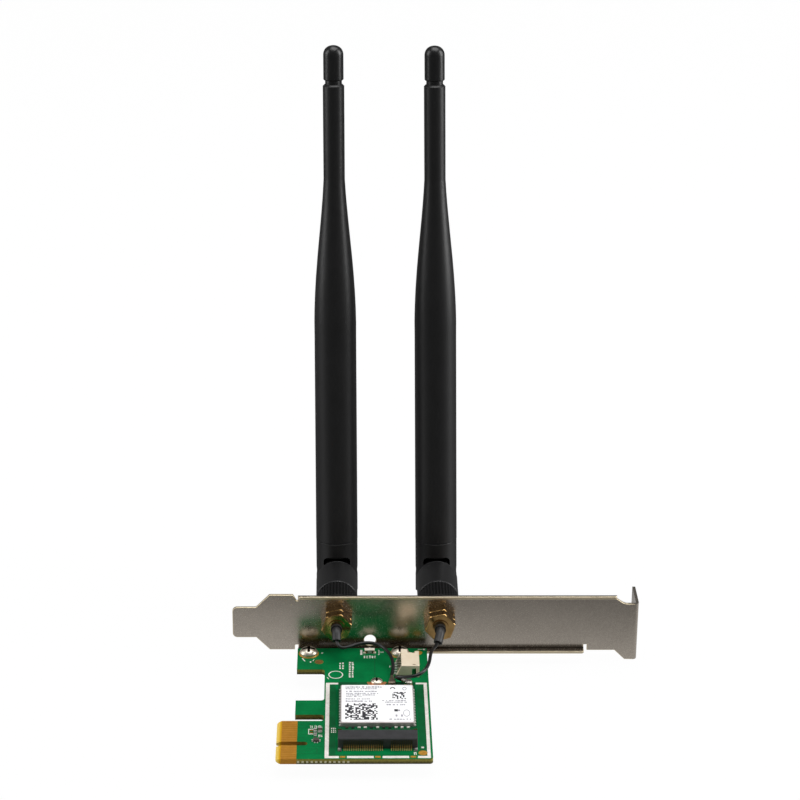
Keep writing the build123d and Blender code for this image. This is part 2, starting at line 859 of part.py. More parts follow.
def jack_nuts():
    hole = bore(jack_thread_wide + 2 * running_gap, -jack_nut_thick, 0)
    nut = hex_nut(-jack_nut_thick, 0) - hole
    return Compound([on_jack(nut, n) for n in range(2)])


def lock_washers():
    ring = bore(washer_wide, sheet, sheet + washer_thick)
    ring -= bore(jack_thread_wide + 2 * running_gap, sheet, sheet + washer_thick)
    return Compound([on_jack(ring, n) for n in range(2)])


def outer_nuts():
    start = sheet + washer_thick
    end = start + outer_nut_thick
    nut = hex_nut(start, end)
    nut -= bore(jack_thread_wide + 2 * running_gap, start, end)
    return Compound([on_jack(nut, n) for n in range(2)])


def header_housing():
    # A side-entry box: mouth on the right, two sloping ears beside the pins on the left.
    deep = header_right - header_left
    wide = header_back - header_front
    x = (header_left + header_right) / 2
    y = (header_front + header_back) / 2
    body = box(x, y, board_top, (deep, wide, header_tall))
    ear = make_face(
        Polyline(
            (header_left, board_top),
            (header_left - header_ear_long, board_top),
            (header_left, board_top + header_tall),
            close=True,
        )
    )
    for start in (header_front, header_back - header_wall):
        body += extrude(upright(ear, start), amount=-header_wall)
    mouth_tall = header_tall - 2 * header_roof
    mouth = (header_mouth_deep, wide - 2 * header_wall, mouth_tall)
    body -= box(header_right - header_mouth_deep / 2, y, board_top + header_roof, mouth)
    window_x = sum(header_window) / 2
    window = (header_window[1] - header_window[0], wide, header_window_tall)
    body -= box(window_x, y, board_top, window)
    notch_x = sum(header_notch) / 2
    notch = (header_notch[1] - header_notch[0], header_wall, mouth_tall + header_roof)
    body -= box(notch_x, header_back - header_wall / 2, board_top + header_roof, notch)
    block = (header_block_wide, header_block_long, header_tall)
    body += box(header_left + header_block_wide / 2, header_back + header_block_long / 2, board_top, block)
    slot = (*header_slot_size, header_roof)
    for start in (header_front + header_wall, header_back - header_wall):
        body -= box(window_x, start, board_top + header_tall - header_roof, slot)
    pin_hole = header_pin_wide + 2 * running_gap
    for y in header_rows():
        body -= box(x, y, board_top + header_pin_z - running_gap, (deep, pin_hole, pin_hole))
    return body


def header_rows():
    first = header_pin_middle - header_pitch * (header_pins_count - 1) / 2
    return [first + n * header_pitch for n in range(header_pins_count)]


def header_pins():
    # Each pin runs back out of the housing, down and onto the board.
    end = header_right - header_mouth_deep / 3
    back = header_left - header_ear_long / 2
    low = board_top
    high = board_top + header_pin_z + header_pin_wide
    thick = header_pin_wide
    section = make_face(
        Polyline(
            (end, high),
            (back - thick, high),
            (back - thick, low + thick / 2),
            (back - header_tail_long, low + thick / 2),
            (back - header_tail_long, low),
            (back, low),
            (back, high - thick),
            (end, high - thick),
            close=True,
        )
    )
    pin = extrude(upright(section, -header_pin_wide / 2), amount=-header_pin_wide)
    return Compound([Pos(0, y, 0) * pin for y in header_rows()])


def header_tabs():
    x = header_right - header_tab_size[0] / 2
    offset = header_tab_size[1] / 2
    places = (header_front - offset, header_back + offset)
    return Compound([box(x, y, board_top, header_tab_size) for y in places])


def coupling_nut(index):
    # A knurled sleeve nut. A chamber inside keeps the elbow's collar from pulling out.
    chamber_end = nut_end - nut_shoulder_thick
    chamber_start = chamber_end - collar_thick - 2 * turning_gap
    thread = jack_thread_wide + 2 * running_gap
    edge = nut_groove_wide
    nut = turned(
        (
            (thread / 2, nut_start),
            (nut_wide / 2 - edge, nut_start),
            (nut_wide / 2, nut_start + edge),
            (nut_wide / 2, nut_end),
            (neck_wide / 2 + running_gap, nut_end),
            (neck_wide / 2 + running_gap, chamber_end),
            (nut_chamber_wide / 2, chamber_end),
            (nut_chamber_wide / 2, chamber_start),
            (thread / 2, chamber_start),
        )
    )
    groove = Pos(nut_wide / 2, 0) * Rectangle(nut_groove_wide, nut_groove_wide, rotation=45)
    cutter = extrude(upright(groove, nut_start), amount=nut_start - nut_end)
    for n in range(nut_ribs):
        nut -= Rot(0, n * 360 / nut_ribs, 0) * cutter
    return on_jack(nut, index)


def elbow(index):
    # Collar and neck inside the coupling nut, a round foot, and the hinge tongue.
    collar_end = nut_end - nut_shoulder_thick - turning_gap
    collar_start = collar_end - collar_thick
    foot = turned(
        (
            (0, collar_start),
            (collar_wide / 2, collar_start),
            (collar_wide / 2, collar_end),
            (neck_wide / 2, collar_end),
            (neck_wide / 2, elbow_start),
            (elbow_foot_wide / 2 - elbow_chamfer, elbow_start),
            (elbow_foot_wide / 2, elbow_start + elbow_chamfer),
            (elbow_wide / 2, elbow_end - elbow_chamfer),
            (elbow_wide / 2 - elbow_chamfer, elbow_end),
            (0, elbow_end),
        )
    )
    buried = elbow_end - 2 * tongue_chamfer
    side = Pos(pivot_out, 0) * Circle(tongue_disc_wide / 2)
    side += Pos((buried + pivot_out) / 2, 0) * Rectangle(pivot_out - buried, tongue_disc_wide)
    across = Plane(origin=(-hinge_tongue_thick / 2, 0, 0), x_dir=(0, 1, 0), z_dir=(1, 0, 0))
    tongue = extrude(across * side, amount=hinge_tongue_thick)
    rims = tongue.faces().filter_by(Axis.X).edges()
    tongue = chamfer(rims, tongue_chamfer)
    hole = Pos(0, pivot_out, 0) * across_pin(hinge_pin_wide + 2 * running_gap, hinge_tongue_thick)
    socket = bore(antenna_pin_wide, collar_start, collar_end)
    return on_elbow(foot + tongue - hole - socket, index)


def antenna_pin(index):
    collar_end = nut_end - nut_shoulder_thick - turning_gap
    collar_start = collar_end - collar_thick
    return on_jack(bore(antenna_pin_wide, collar_start - antenna_pin_reach, collar_end), index)


def across_pin(wide, long):
    # A cylinder along X, centred on the hinge.
    return Rot(0, 90, 0) * Cylinder(wide / 2, long)


def hinge_pin(index):
    return on_elbow(Pos(0, pivot_out, 0) * across_pin(hinge_pin_wide, hinge_pin_long), index)


def fork(index):
    # Two prongs around the elbow's tongue, rounded about the hinge and closed behind, and a
    # spigot for the mast.
    spigot = mast_bore - running_gap
    body = turned(
        (
            (0, -fork_wide / 2),
            (fork_wide / 2, -fork_wide / 2),
            (fork_wide / 2, mast_start - fork_seam),
            (fork_wide / 2 - fork_seam, mast_start),
            (spigot, mast_start),
            (spigot, fork_spigot_end),
            (0, fork_spigot_end),
        )
    )
    keep = across_pin(fork_wide, fork_wide)
    keep += Pos(0, fork_spigot_end / 2, 0) * Box(fork_wide, fork_spigot_end, fork_wide)
    body &= keep
    slot_wide = hinge_tongue_thick + 2 * hinge_gap
    slot_long = fork_slot_end + fork_wide
    slot = Pos(0, fork_slot_end - slot_long / 2) * Rectangle(slot_wide, slot_long)
    slot = fillet(slot.vertices().group_by(Axis.Y)[-1], fork_slot_corner)
    slot_back = tongue_disc_wide / 2 + hinge_gap
    body -= Pos(0, 0, -slot_back) * extrude(slot, amount=slot_back + fork_wide)
    body -= across_pin(hinge_pin_wide + 2 * running_gap, fork_wide)
    return on_hinge(body, index)


def mast(index):
    # A hollow moulded tube: wide foot, long shoulder, slim top.
    foot = mast_foot_wide / 2
    outer = [
        Polyline((foot - mast_seam, mast_start), (foot, mast_start + mast_seam), mast_taper_start),
        Spline(mast_taper_start, *mast_taper, mast_taper_end),
        Polyline(mast_taper_end, (mast_top, mast_end - mast_rim), (mast_top - mast_rim, mast_end)),
    ]
    inner = Polyline(
        (mast_top - mast_rim, mast_end),
        (top_bore, mast_end),
        (top_bore, mast_taper_end[1]),
        (mast_bore, mast_taper_start[1]),
        (mast_bore, mast_start),
        (foot - mast_seam, mast_start),
    )
    return on_hinge(revolve(make_face([*outer, inner]), Axis.Y), index)


def tip_cap(index):
    # Pushed into the top of the mast, with a narrow neck under a rounded cap.
    wide = tip_wide / 2
    neck = tip_neck_wide / 2
    spigot = top_bore - running_gap
    cap_start = mast_end + tip_neck_long
    dome = wide * tip_dome_share
    rise, level = tip_dome_pull
    pulls = ((wide, tip_end - dome * (1 - rise)), (wide * level, tip_end))
    section = [
        Polyline(
            (0, tip_end),
            (0, mast_end - tip_spigot_long),
            (spigot, mast_end - tip_spigot_long),
            (spigot, mast_end),
            (neck, mast_end),
            (neck, cap_start),
            (wide - tip_edge, cap_start),
            (wide, cap_start + tip_edge),
            (wide, tip_end - dome),
        ),
        Bezier((wide, tip_end - dome), *pulls, (0, tip_end)),
    ]
    return on_hinge(revolve(make_face(section), Axis.Y), index)


def radiator(index):
    # A wire that stands on the fork's spigot, with a skirt around its lower half.
    low, high = radiator_sleeve
    wire = radiator_wide / 2
    skirt = radiator_sleeve_wide / 2
    rod = turned(
        (
            (0, fork_spigot_end),
            (wire, fork_spigot_end),
            (wire, low),
            (skirt, low),
            (skirt, high),
            (wire, high),
            (wire, radiator_end),
            (0, radiator_end),
        )
    )
    return on_hinge(rod, index)


os.makedirs("parts", exist_ok=True)
pieces = {
    "circuit_board": circuit_board(),
    "edge_contacts": edge_contacts(),
    "board_pads": board_pads(),
    "slot_bracket": slot_bracket(),
    "bracket_screws": bracket_screws(),
    "status_led": status_led(),
    "chip_parts": chip_parts(),
    "module_board": module_board(),
    "module_pad": module_pad(),
    "module_shield": module_shield(),
    "module_label": module_label(),
    "module_chips": module_chips(),
    "module_socket": module_socket(),
    "socket_contacts": socket_contacts(),
    "socket_clips": socket_clips(),
    "module_standoff": module_standoff(),
    "module_screw": module_screw(),
    "module_receptacles": module_receptacles(),
    "jack_nuts": jack_nuts(),
    "lock_washers": lock_washers(),
    "outer_nuts": outer_nuts(),
    "header_housing": header_housing(),
    "header_pins": header_pins(),
    "header_tabs": header_tabs(),
    "left_pigtail": pigtail(left_route, 0),
    "right_pigtail": pigtail(right_route, 1),
}
for index, side in enumerate(sides):
    pieces[side + "_sleeve"] = sleeve(index)
    pieces[side + "_coax_plug"] = coax_plug(index)
    pieces[side + "_jack"] = jack(index)
    pieces[side + "_jack_insulator"] = jack_insulator(index)
    pieces[side + "_jack_contact"] = jack_contact(index)
    pieces[side + "_coupling_nut"] = coupling_nut(index)
    pieces[side + "_elbow"] = elbow(index)
    pieces[side + "_antenna_pin"] = antenna_pin(index)
    pieces[side + "_hinge_pin"] = hinge_pin(index)
    pieces[side + "_fork"] = fork(index)
    pieces[side + "_mast"] = mast(index)
    pieces[side + "_tip_cap"] = tip_cap(index)
    pieces[side + "_radiator"] = radiator(index)
for name, shape in pieces.items():
    export_step(shape, "parts/" + name + ".step")
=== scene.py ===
import math
import random

import bmesh
import bpy
from mathutils import Matrix, Vector


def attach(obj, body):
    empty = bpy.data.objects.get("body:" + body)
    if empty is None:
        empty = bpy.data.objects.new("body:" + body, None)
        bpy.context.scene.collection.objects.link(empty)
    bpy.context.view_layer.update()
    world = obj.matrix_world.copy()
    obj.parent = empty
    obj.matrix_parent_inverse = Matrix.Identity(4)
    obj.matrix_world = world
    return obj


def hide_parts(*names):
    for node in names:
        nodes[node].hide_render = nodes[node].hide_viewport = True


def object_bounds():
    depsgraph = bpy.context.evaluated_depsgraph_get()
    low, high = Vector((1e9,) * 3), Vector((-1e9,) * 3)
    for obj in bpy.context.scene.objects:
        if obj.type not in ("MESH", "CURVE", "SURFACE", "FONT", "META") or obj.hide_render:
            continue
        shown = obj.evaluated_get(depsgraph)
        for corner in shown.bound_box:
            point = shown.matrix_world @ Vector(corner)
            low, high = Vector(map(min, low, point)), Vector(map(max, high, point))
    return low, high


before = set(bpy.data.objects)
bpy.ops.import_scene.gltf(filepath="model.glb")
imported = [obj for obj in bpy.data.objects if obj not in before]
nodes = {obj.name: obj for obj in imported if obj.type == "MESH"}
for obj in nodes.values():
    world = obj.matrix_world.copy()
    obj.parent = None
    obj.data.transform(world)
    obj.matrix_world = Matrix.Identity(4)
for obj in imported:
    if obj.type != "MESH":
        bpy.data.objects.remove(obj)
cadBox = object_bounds()
mm = 0.001
print("frame loaded,", len(nodes), "nodes")

bpy.context.scene.view_settings.view_transform = "Standard"

# Camera, solved from the board's, bracket's and masts' edges
cameraView = {
    "place": (19.9735, -585.2407, 352.8192), "pitch": 23.0675, "yaw": 1.28946, "roll": 0.570184,
    "focal": 110.6,
}


def placeCamera(view):
    pitch, yaw, roll = (math.radians(view[k]) for k in ("pitch", "yaw", "roll"))
    ahead = Vector((math.sin(yaw) * math.cos(pitch), math.cos(yaw) * math.cos(pitch), -math.sin(pitch)))
    right = ahead.cross(Vector((0, 0, 1))).normalized()
    up = right.cross(ahead)
    across = right * math.cos(roll) + up * math.sin(roll)
    above = up * math.cos(roll) - right * math.sin(roll)
    data = bpy.data.cameras.new("camera")
    data.sensor_width = 36
    data.lens = view["focal"]
    data.clip_start = 0.01
    camera = bpy.data.objects.new("camera", data)
    bpy.context.collection.objects.link(camera)
    turn = Matrix((across, above, -ahead)).transposed().to_4x4()
    camera.matrix_world = Matrix.Translation(Vector(view["place"]) * mm) @ turn
    bpy.context.scene.camera = camera


placeCamera(cameraView)
print("camera placed")


# Materials

def hexColour(code):
    parts = [int(code[i : i + 2], 16) / 255 for i in (1, 3, 5)]
    return tuple(p / 12.92 if p <= 0.04045 else ((p + 0.055) / 1.055) ** 2.4 for p in parts) + (1.0,)


def addNode(tree, kind, sockets=None, **settings):
    node = tree.nodes.new(kind)
    for name, value in settings.items():
        if name == "stops":  # colours of a ramp, as (place, hex)
            ramp = node.color_ramp
            for index, (place, code) in enumerate(value):
                stop = ramp.elements[index] if index < 2 else ramp.elements.new(place)
                stop.position = place
                stop.color = hexColour(code)
        else:
            setattr(node, name, value)
    for name, value in (sockets or {}).items():
        if isinstance(value, bpy.types.NodeSocket):
            tree.links.new(value, node.inputs[name])
        else:
            node.inputs[name].default_value = value
    return node


def startMaterial(name, **shaderSockets):
    # an empty material with its shader and its output
    material = bpy.data.materials.new(name)
    material.use_nodes = True
    tree = material.node_tree
    tree.nodes.clear()
    shader = addNode(tree, "ShaderNodeBsdfPrincipled")
    for socket, value in shaderSockets.items():
        shader.inputs[socket.replace("_", " ")].default_value = value
    addNode(tree, "ShaderNodeOutputMaterial", {"Surface": shader.outputs["BSDF"]})
    return material, tree, shader


def grainMaterial(name, look):
    # a finish with grain: two colours and two roughnesses mixed by a noise, and a fine bump
    plain = ("Metallic", "IOR", "Specular_IOR_Level")  # set on the shader's own sockets
    material, tree, shader = startMaterial(name, **{k: look[k] for k in plain if k in look})
    place = addNode(tree, "ShaderNodeTexCoord").outputs["Object"]
    patch = addNode(
        tree, "ShaderNodeTexNoise", {"Vector": place, "Scale": 1 / (look["patch"] * mm), "Detail": 4.0},
    )
    colour = addNode(
        tree, "ShaderNodeValToRGB", {"Fac": patch.outputs["Fac"]},
        stops=((0.3, look["dark"]), (0.7, look["light"])),
    )
    tint = colour.outputs["Color"]
    if "shadeAbove" in look:  # painted shade: darker above one height, bright below another
        bright, fullShadeHeight, code = look["shadeAbove"]
        height = addNode(tree, "ShaderNodeSeparateXYZ", {"Vector": place}).outputs["Z"]
        share = addNode(
            tree, "ShaderNodeMapRange", {"Value": height, "From Min": bright * mm, "From Max": fullShadeHeight * mm},
        )
        tint = addNode(
            tree, "ShaderNodeMix", {"Factor": share.outputs["Result"], "A": tint, "B": hexColour(code)},
            data_type="RGBA",
        ).outputs["Result"]
    tree.links.new(tint, shader.inputs["Base Color"])
    grain = addNode(
        tree, "ShaderNodeTexNoise", {"Vector": place, "Scale": 1 / (look["grain"] * mm), "Detail": 3.0},
    )
    low, high = look["roughness"]
    rough = addNode(
        tree, "ShaderNodeMapRange",
        {"Value": grain.outputs["Fac"], "From Min": 0.3, "From Max": 0.7, "To Min": low, "To Max": high},
    )
    tree.links.new(rough.outputs["Result"], shader.inputs["Roughness"])
    bump = addNode(
        tree, "ShaderNodeBump",
        {"Height": grain.outputs["Fac"], "Distance": look["bump"] * mm, "Strength": 1.0},
    )
    tree.links.new(bump.outputs["Normal"], shader.inputs["Normal"])
    return material


finishes = {
    # spark-eroded black ABS of the masts: satin, lighter where it turns away
    "sparkErodedAbs": {
        "dark": "#0b0b0c", "light": "#101011", "patch": 6, "grain": 0.25, "roughness": (0.36, 0.46),
        "bump": 0.004, "IOR": 1.53,
    },
    # softer, smoother black moulding of the tip caps
    "smoothTpe": {
        "dark": "#0c0c0d", "light": "#111112", "patch": 4, "grain": 0.3, "roughness": (0.3, 0.38),
        "bump": 0.002, "IOR": 1.5,
    },
    # knurled black coupling nut, dull in its grooves
    "knurledAbs": {
        "dark": "#050505", "light": "#090909", "patch": 3, "grain": 0.2, "roughness": (0.4, 0.5),
        "bump": 0.003, "IOR": 1.53, "Specular_IOR_Level": 0.3,
    },
    # edges of the black feet, polished smooth, in a lighter grey painted as the light line that they draw
    "rimPaintedHighlight": {
        "dark": "#29292a", "light": "#353536", "patch": 3, "grain": 0.3, "roughness": (0.25, 0.35),
        "bump": 0.001, "IOR": 1.53,
    },
    # brass bar, turned, its flats bright enough to mirror the board
    "turnedBrass": {
        "dark": "#a3814f", "light": "#c3a06a", "patch": 2.5, "grain": 0.12, "roughness": (0.1, 0.2),
        "bump": 0.0008, "Metallic": 1.0,
    },
    # nickel plated steel screws, bright
    "nickelPlate": {
        "dark": "#d3cab9", "light": "#ece4d4", "patch": 1.5, "grain": 0.15, "roughness": (0.28, 0.4),
        "bump": 0.001, "Metallic": 1.0,
    },
    # tinned sheet and pins, duller than nickel
    "tinPlate": {
        "dark": "#b5b0a8", "light": "#d6d1c8", "patch": 1.2, "grain": 0.15, "roughness": (0.26, 0.4),
        "bump": 0.002, "Metallic": 1.0,
    },
    # solder, white and lumpy
    "frozenSolder": {
        "dark": "#c9c6c0", "light": "#ecebe6", "patch": 0.5, "grain": 0.1, "roughness": (0.3, 0.45),
        "bump": 0.004, "Metallic": 0.6,
    },
    # nickel silver can around the module, brushed by handling
    "nickelSilver": {
        "dark": "#b9b0ae", "light": "#d0c8c7", "patch": 2.0, "grain": 0.2, "roughness": (0.42, 0.58),
        "bump": 0.002, "Metallic": 0.55,
    },
    # electroless gold over copper
    "immersionGold": {
        "dark": "#b47f31", "light": "#cf9a45", "patch": 1.5, "grain": 0.2, "roughness": (0.3, 0.42),
        "bump": 0.002, "Metallic": 1.0,
    },
    # pads with a thin warm film over the gold
    "filmedGold": {
        "dark": "#b07c26", "light": "#d9a03a", "patch": 0.9, "grain": 0.2, "roughness": (0.35, 0.5),
        "bump": 0.002, "Metallic": 0.5,
    },
    # contact tails, gold over nickel, bright at their feet, with painted shade darkening their upper part
    "goldShadedAbove": {
        "dark": "#b59a5e", "light": "#e2c68c", "patch": 0.7, "grain": 0.12, "roughness": (0.4, 0.55),
        "bump": 0.002, "Metallic": 0.8, "shadeAbove": (1.2, 2.1, "#4a4336"),
    },
    # hard gold of the edge contacts, wiped and slightly brown
    "hardGold": {
        "dark": "#b97f27", "light": "#ca9034", "patch": 2.2, "grain": 0.25, "roughness": (0.42, 0.55),
        "bump": 0.002, "Metallic": 0.7,
    },
    # one pad gone brown
    "brownGold": {
        "dark": "#6e5428", "light": "#97723a", "patch": 0.6, "grain": 0.2, "roughness": (0.4, 0.55),
        "bump": 0.002, "Metallic": 0.6,
    },
    # painted shade in the crease where a lip is folded: dark and dull
    "creaseShade": {
        "dark": "#2b251f", "light": "#3a322a", "patch": 2.0, "grain": 0.3, "roughness": (0.4, 0.5),
        "bump": 0.001, "Metallic": 1.0,
    },
    # bare copper, gone a little orange
    "bareCopper": {
        "dark": "#c67a4a", "light": "#e39b66", "patch": 1.0, "grain": 0.15, "roughness": (0.35, 0.5),
        "bump": 0.002, "Metallic": 0.8,
    },
    # plated brass of the first snap-on plug, grey-brown
    "plugPlate": {
        "dark": "#857a6c", "light": "#aca08f", "patch": 0.8, "grain": 0.12, "roughness": (0.26, 0.4),
        "bump": 0.002, "Metallic": 1.0,
    },
    # the second plug's brighter plating
    "plugSilver": {
        "dark": "#d6d0c4", "light": "#f0ebe1", "patch": 0.8, "grain": 0.12, "roughness": (0.18, 0.28),
        "bump": 0.0015, "Metallic": 1.0,
    },
    # ivory nylon of the header
    "ivoryNylon": {
        "dark": "#dccbb1", "light": "#e6d8c1", "patch": 3.0, "grain": 0.3, "roughness": (0.5, 0.62),
        "bump": 0.003, "IOR": 1.53,
    },
    # black glass-filled polymer of the socket
    "glassFilledLcp": {
        "dark": "#1d1d1f", "light": "#2a2a2d", "patch": 2.0, "grain": 0.15, "roughness": (0.42, 0.55),
        "bump": 0.004, "IOR": 1.6,
    },
    # shrunk polyolefin sleeve, soft black
    "shrinkPolyolefin": {
        "dark": "#151516", "light": "#1e1e1f", "patch": 1.5, "grain": 0.25, "roughness": (0.42, 0.55),
        "bump": 0.006, "IOR": 1.5,
    },
    # black jacket of the thin coax leads
    "coaxJacket": {
        "dark": "#0a0a0a", "light": "#101010", "patch": 2.0, "grain": 0.2, "roughness": (0.3, 0.4),
        "bump": 0.002, "IOR": 1.5,
    },
    # white insulator turned from PTFE
    "turnedPtfe": {
        "dark": "#e6e3dc", "light": "#f2efe9", "patch": 1.5, "grain": 0.2, "roughness": (0.5, 0.65),
        "bump": 0.003, "IOR": 1.36,
    },
    # dark moulded and fired bodies of the small soldered parts
    "firedCeramic": {
        "dark": "#2c2620", "light": "#4a4036", "patch": 0.6, "grain": 0.12, "roughness": (0.4, 0.55),
        "bump": 0.004, "IOR": 1.7,
    },
    # coated paper of the label
    "coatedPaper": {
        "dark": "#f1f1f2", "light": "#f6f6f7", "patch": 3.0, "grain": 0.2, "roughness": (0.55, 0.68),
        "bump": 0.001, "IOR": 1.45,
    },
    # thermal print on the label, nearly black
    "thermalInk": {
        "dark": "#1e1d22", "light": "#35333b", "patch": 0.6, "grain": 0.1, "roughness": (0.5, 0.62),
        "bump": 0.001, "IOR": 1.45,
    },
    # fine dashes: thinner than a pixel, so drawn as one paler grey
    "finePrint": {
        "dark": "#87858e", "light": "#a5a3ac", "patch": 0.5, "grain": 0.1, "roughness": (0.5, 0.62),
        "bump": 0.001, "IOR": 1.45,
    },
    # white epoxy ink of the board's printing, slightly pink over the green
    "screenInk": {
        "dark": "#d5cec7", "light": "#e8e3dd", "patch": 1.2, "grain": 0.2, "roughness": (0.5, 0.65),
        "bump": 0.002, "IOR": 1.5,
    },
    # white plastic of the side-facing light
    "diffusingResin": {
        "dark": "#ece4cf", "light": "#f6f0e2", "patch": 0.8, "grain": 0.15, "roughness": (0.4, 0.5),
        "bump": 0.002, "IOR": 1.5,
    },
    # lacquer over laminate without copper, darker than the rest of the board; it also paints the module's
    # shadow beside its can
    "laminateGapsAndShade": {
        "dark": "#00522a", "light": "#006032", "patch": 3.0, "grain": 0.4, "roughness": (0.45, 0.55),
        "bump": 0.002, "IOR": 1.5, "Specular_IOR_Level": 0.12,
    },
}
made = {name: grainMaterial(name, look) for name, look in finishes.items()}


def zincSteel(name, look):
    # zinc plated sheet: warm satin grey with a fine pebbled grain, which is drawn at about a pixel so that it
    # shows
    material, tree, shader = startMaterial(name, Metallic=1.0)
    place = addNode(tree, "ShaderNodeTexCoord").outputs["Object"]
    patch = addNode(
        tree, "ShaderNodeTexNoise", {"Vector": place, "Scale": 1 / (look["patch"] * mm), "Detail": 3.0},
    )
    grain = addNode(
        tree, "ShaderNodeTexNoise", {"Vector": place, "Scale": 1 / (look["grain"] * mm), "Detail": 4.0},
    )
    both = addNode(
        tree, "ShaderNodeMix", {"Factor": 0.8, "A": patch.outputs["Fac"], "B": grain.outputs["Fac"]},
        data_type="FLOAT",
    )
    colour = addNode(
        tree, "ShaderNodeValToRGB", {"Fac": both.outputs["Result"]},
        stops=((0.36, look["dark"]), (0.64, look["light"])),
    )
    tree.links.new(colour.outputs["Color"], shader.inputs["Base Color"])
    low, high = look["roughness"]
    rough = addNode(
        tree, "ShaderNodeMapRange",
        {"Value": grain.outputs["Fac"], "From Min": 0.3, "From Max": 0.7, "To Min": low, "To Max": high},
    )
    tree.links.new(rough.outputs["Result"], shader.inputs["Roughness"])
    bump = addNode(
        tree, "ShaderNodeBump",
        {"Height": grain.outputs["Fac"], "Distance": look["bump"] * mm, "Strength": 1.0},
    )
    tree.links.new(bump.outputs["Normal"], shader.inputs["Normal"])
    return material


def solderMask(name, look):
    # green lacquer over copper and glass cloth; the sawn edges show the bare laminate in layers
    material, tree, shader = startMaterial(name, IOR=1.5, Specular_IOR_Level=0.06)
    coords = addNode(tree, "ShaderNodeTexCoord")
    place = coords.outputs["Object"]
    spot = addNode(tree, "ShaderNodeSeparateXYZ", {"Vector": place})
    facing = addNode(tree, "ShaderNodeSeparateXYZ", {"Vector": coords.outputs["Normal"]})
    patch = addNode(
        tree, "ShaderNodeTexNoise", {"Vector": place, "Scale": 1 / (look["patch"] * mm), "Detail": 5.0},
    )
    weave = addNode(
        tree, "ShaderNodeTexNoise", {"Vector": place, "Scale": 1 / (look["weave"] * mm), "Detail": 2.0},
    )
    both = addNode(
        tree, "ShaderNodeMix", {"Factor": 0.3, "A": patch.outputs["Fac"], "B": weave.outputs["Fac"]},
        data_type="FLOAT",
    )
    green = addNode(
        tree, "ShaderNodeValToRGB", {"Fac": both.outputs["Result"]},
        stops=((0.35, look["dark"]), (0.65, look["light"])),
    )
    # layers of the sawn edge, by height, ragged by the weave
    layer = addNode(
        tree, "ShaderNodeMapRange",
        {"Value": spot.outputs["Z"], "From Min": -look["half"] * mm, "From Max": look["half"] * mm},
    )
    ragged = addNode(
        tree, "ShaderNodeMix", {"Factor": 0.4, "A": layer.outputs["Result"], "B": weave.outputs["Fac"]},
        data_type="FLOAT",
    )
    edge = addNode(tree, "ShaderNodeValToRGB", {"Fac": ragged.outputs["Result"]}, stops=look["edge"])
    # cut ends of the plating bars: pale flecks at the contacts' pitch in the middle of the front edge
    beat = addNode(
        tree, "ShaderNodeMath", {0: spot.outputs["X"], 1: look["fleckPitch"] * mm}, operation="PINGPONG",
    )
    wide = addNode(
        tree, "ShaderNodeMath", {0: beat.outputs["Value"], 1: look["fleckHalf"] * mm}, operation="LESS_THAN",
    )
    middle = addNode(
        tree, "ShaderNodeMath",
        {0: spot.outputs["Z"], 1: look["fleckHeight"] * mm, 2: look["fleckTall"] * mm}, operation="COMPARE",
    )
    along = addNode(
        tree, "ShaderNodeMath",
        {0: spot.outputs["X"], 1: look["fleckMiddle"] * mm, 2: look["fleckReach"] * mm}, operation="COMPARE",
    )
    fleck = addNode(
        tree, "ShaderNodeMath", {0: wide.outputs["Value"], 1: middle.outputs["Value"]}, operation="MULTIPLY",
    )
    fleck = addNode(
        tree, "ShaderNodeMath", {0: fleck.outputs["Value"], 1: along.outputs["Value"]}, operation="MULTIPLY",
    )
    front = addNode(
        tree, "ShaderNodeMath", {0: spot.outputs["Y"], 1: look["frontEdge"] * mm}, operation="LESS_THAN",
    )
    fleck = addNode(
        tree, "ShaderNodeMath", {0: fleck.outputs["Value"], 1: front.outputs["Value"]}, operation="MULTIPLY",
    )
    edge = addNode(
        tree, "ShaderNodeMix",
        {"Factor": fleck.outputs["Value"], "A": edge.outputs["Color"], "B": hexColour(look["fleck"])},
        data_type="RGBA",
    )
    # the contact tab: bevelled tip in two yellows, bare laminate between the contacts
    tip = addNode(
        tree, "ShaderNodeMapRange",
        {"Value": spot.outputs["X"], "From Min": 0.0, "From Max": look["tipReach"] * mm},
    )
    tab = addNode(tree, "ShaderNodeValToRGB", {"Fac": tip.outputs["Result"]}, stops=look["tab"])
    upright = addNode(tree, "ShaderNodeMath", {0: facing.outputs["Z"]}, operation="ABSOLUTE")
    flat = addNode(tree, "ShaderNodeMath", {0: upright.outputs["Value"], 1: 0.98}, operation="GREATER_THAN")
    onTab = addNode(
        tree, "ShaderNodeMath", {0: spot.outputs["X"], 1: look["tabEnd"] * mm}, operation="LESS_THAN",
    )
    nearTab = addNode(
        tree, "ShaderNodeMath", {0: spot.outputs["Y"], 1: look["tabSide"] * mm}, operation="LESS_THAN",
    )
    onTab = addNode(
        tree, "ShaderNodeMath", {0: onTab.outputs["Value"], 1: nearTab.outputs["Value"]},
        operation="MULTIPLY",
    )
    surface = addNode(
        tree, "ShaderNodeMix",
        {"Factor": flat.outputs["Value"], "A": edge.outputs["Result"], "B": green.outputs["Color"]},
        data_type="RGBA",
    )
    surface = addNode(
        tree, "ShaderNodeMix",
        {"Factor": onTab.outputs["Value"], "A": surface.outputs["Result"], "B": tab.outputs["Color"]},
        data_type="RGBA",
    )
    tree.links.new(surface.outputs["Result"], shader.inputs["Base Color"])
    rough = addNode(
        tree, "ShaderNodeMapRange",
        {"Value": flat.outputs["Value"], "To Min": look["roughness"][0], "To Max": look["roughness"][1]},
    )
    tree.links.new(rough.outputs["Result"], shader.inputs["Roughness"])
    bump = addNode(
        tree, "ShaderNodeBump",
        {"Height": weave.outputs["Fac"], "Distance": look["bump"] * mm, "Strength": 1.0},
    )
    tree.links.new(bump.outputs["Normal"], shader.inputs["Normal"])
    return material


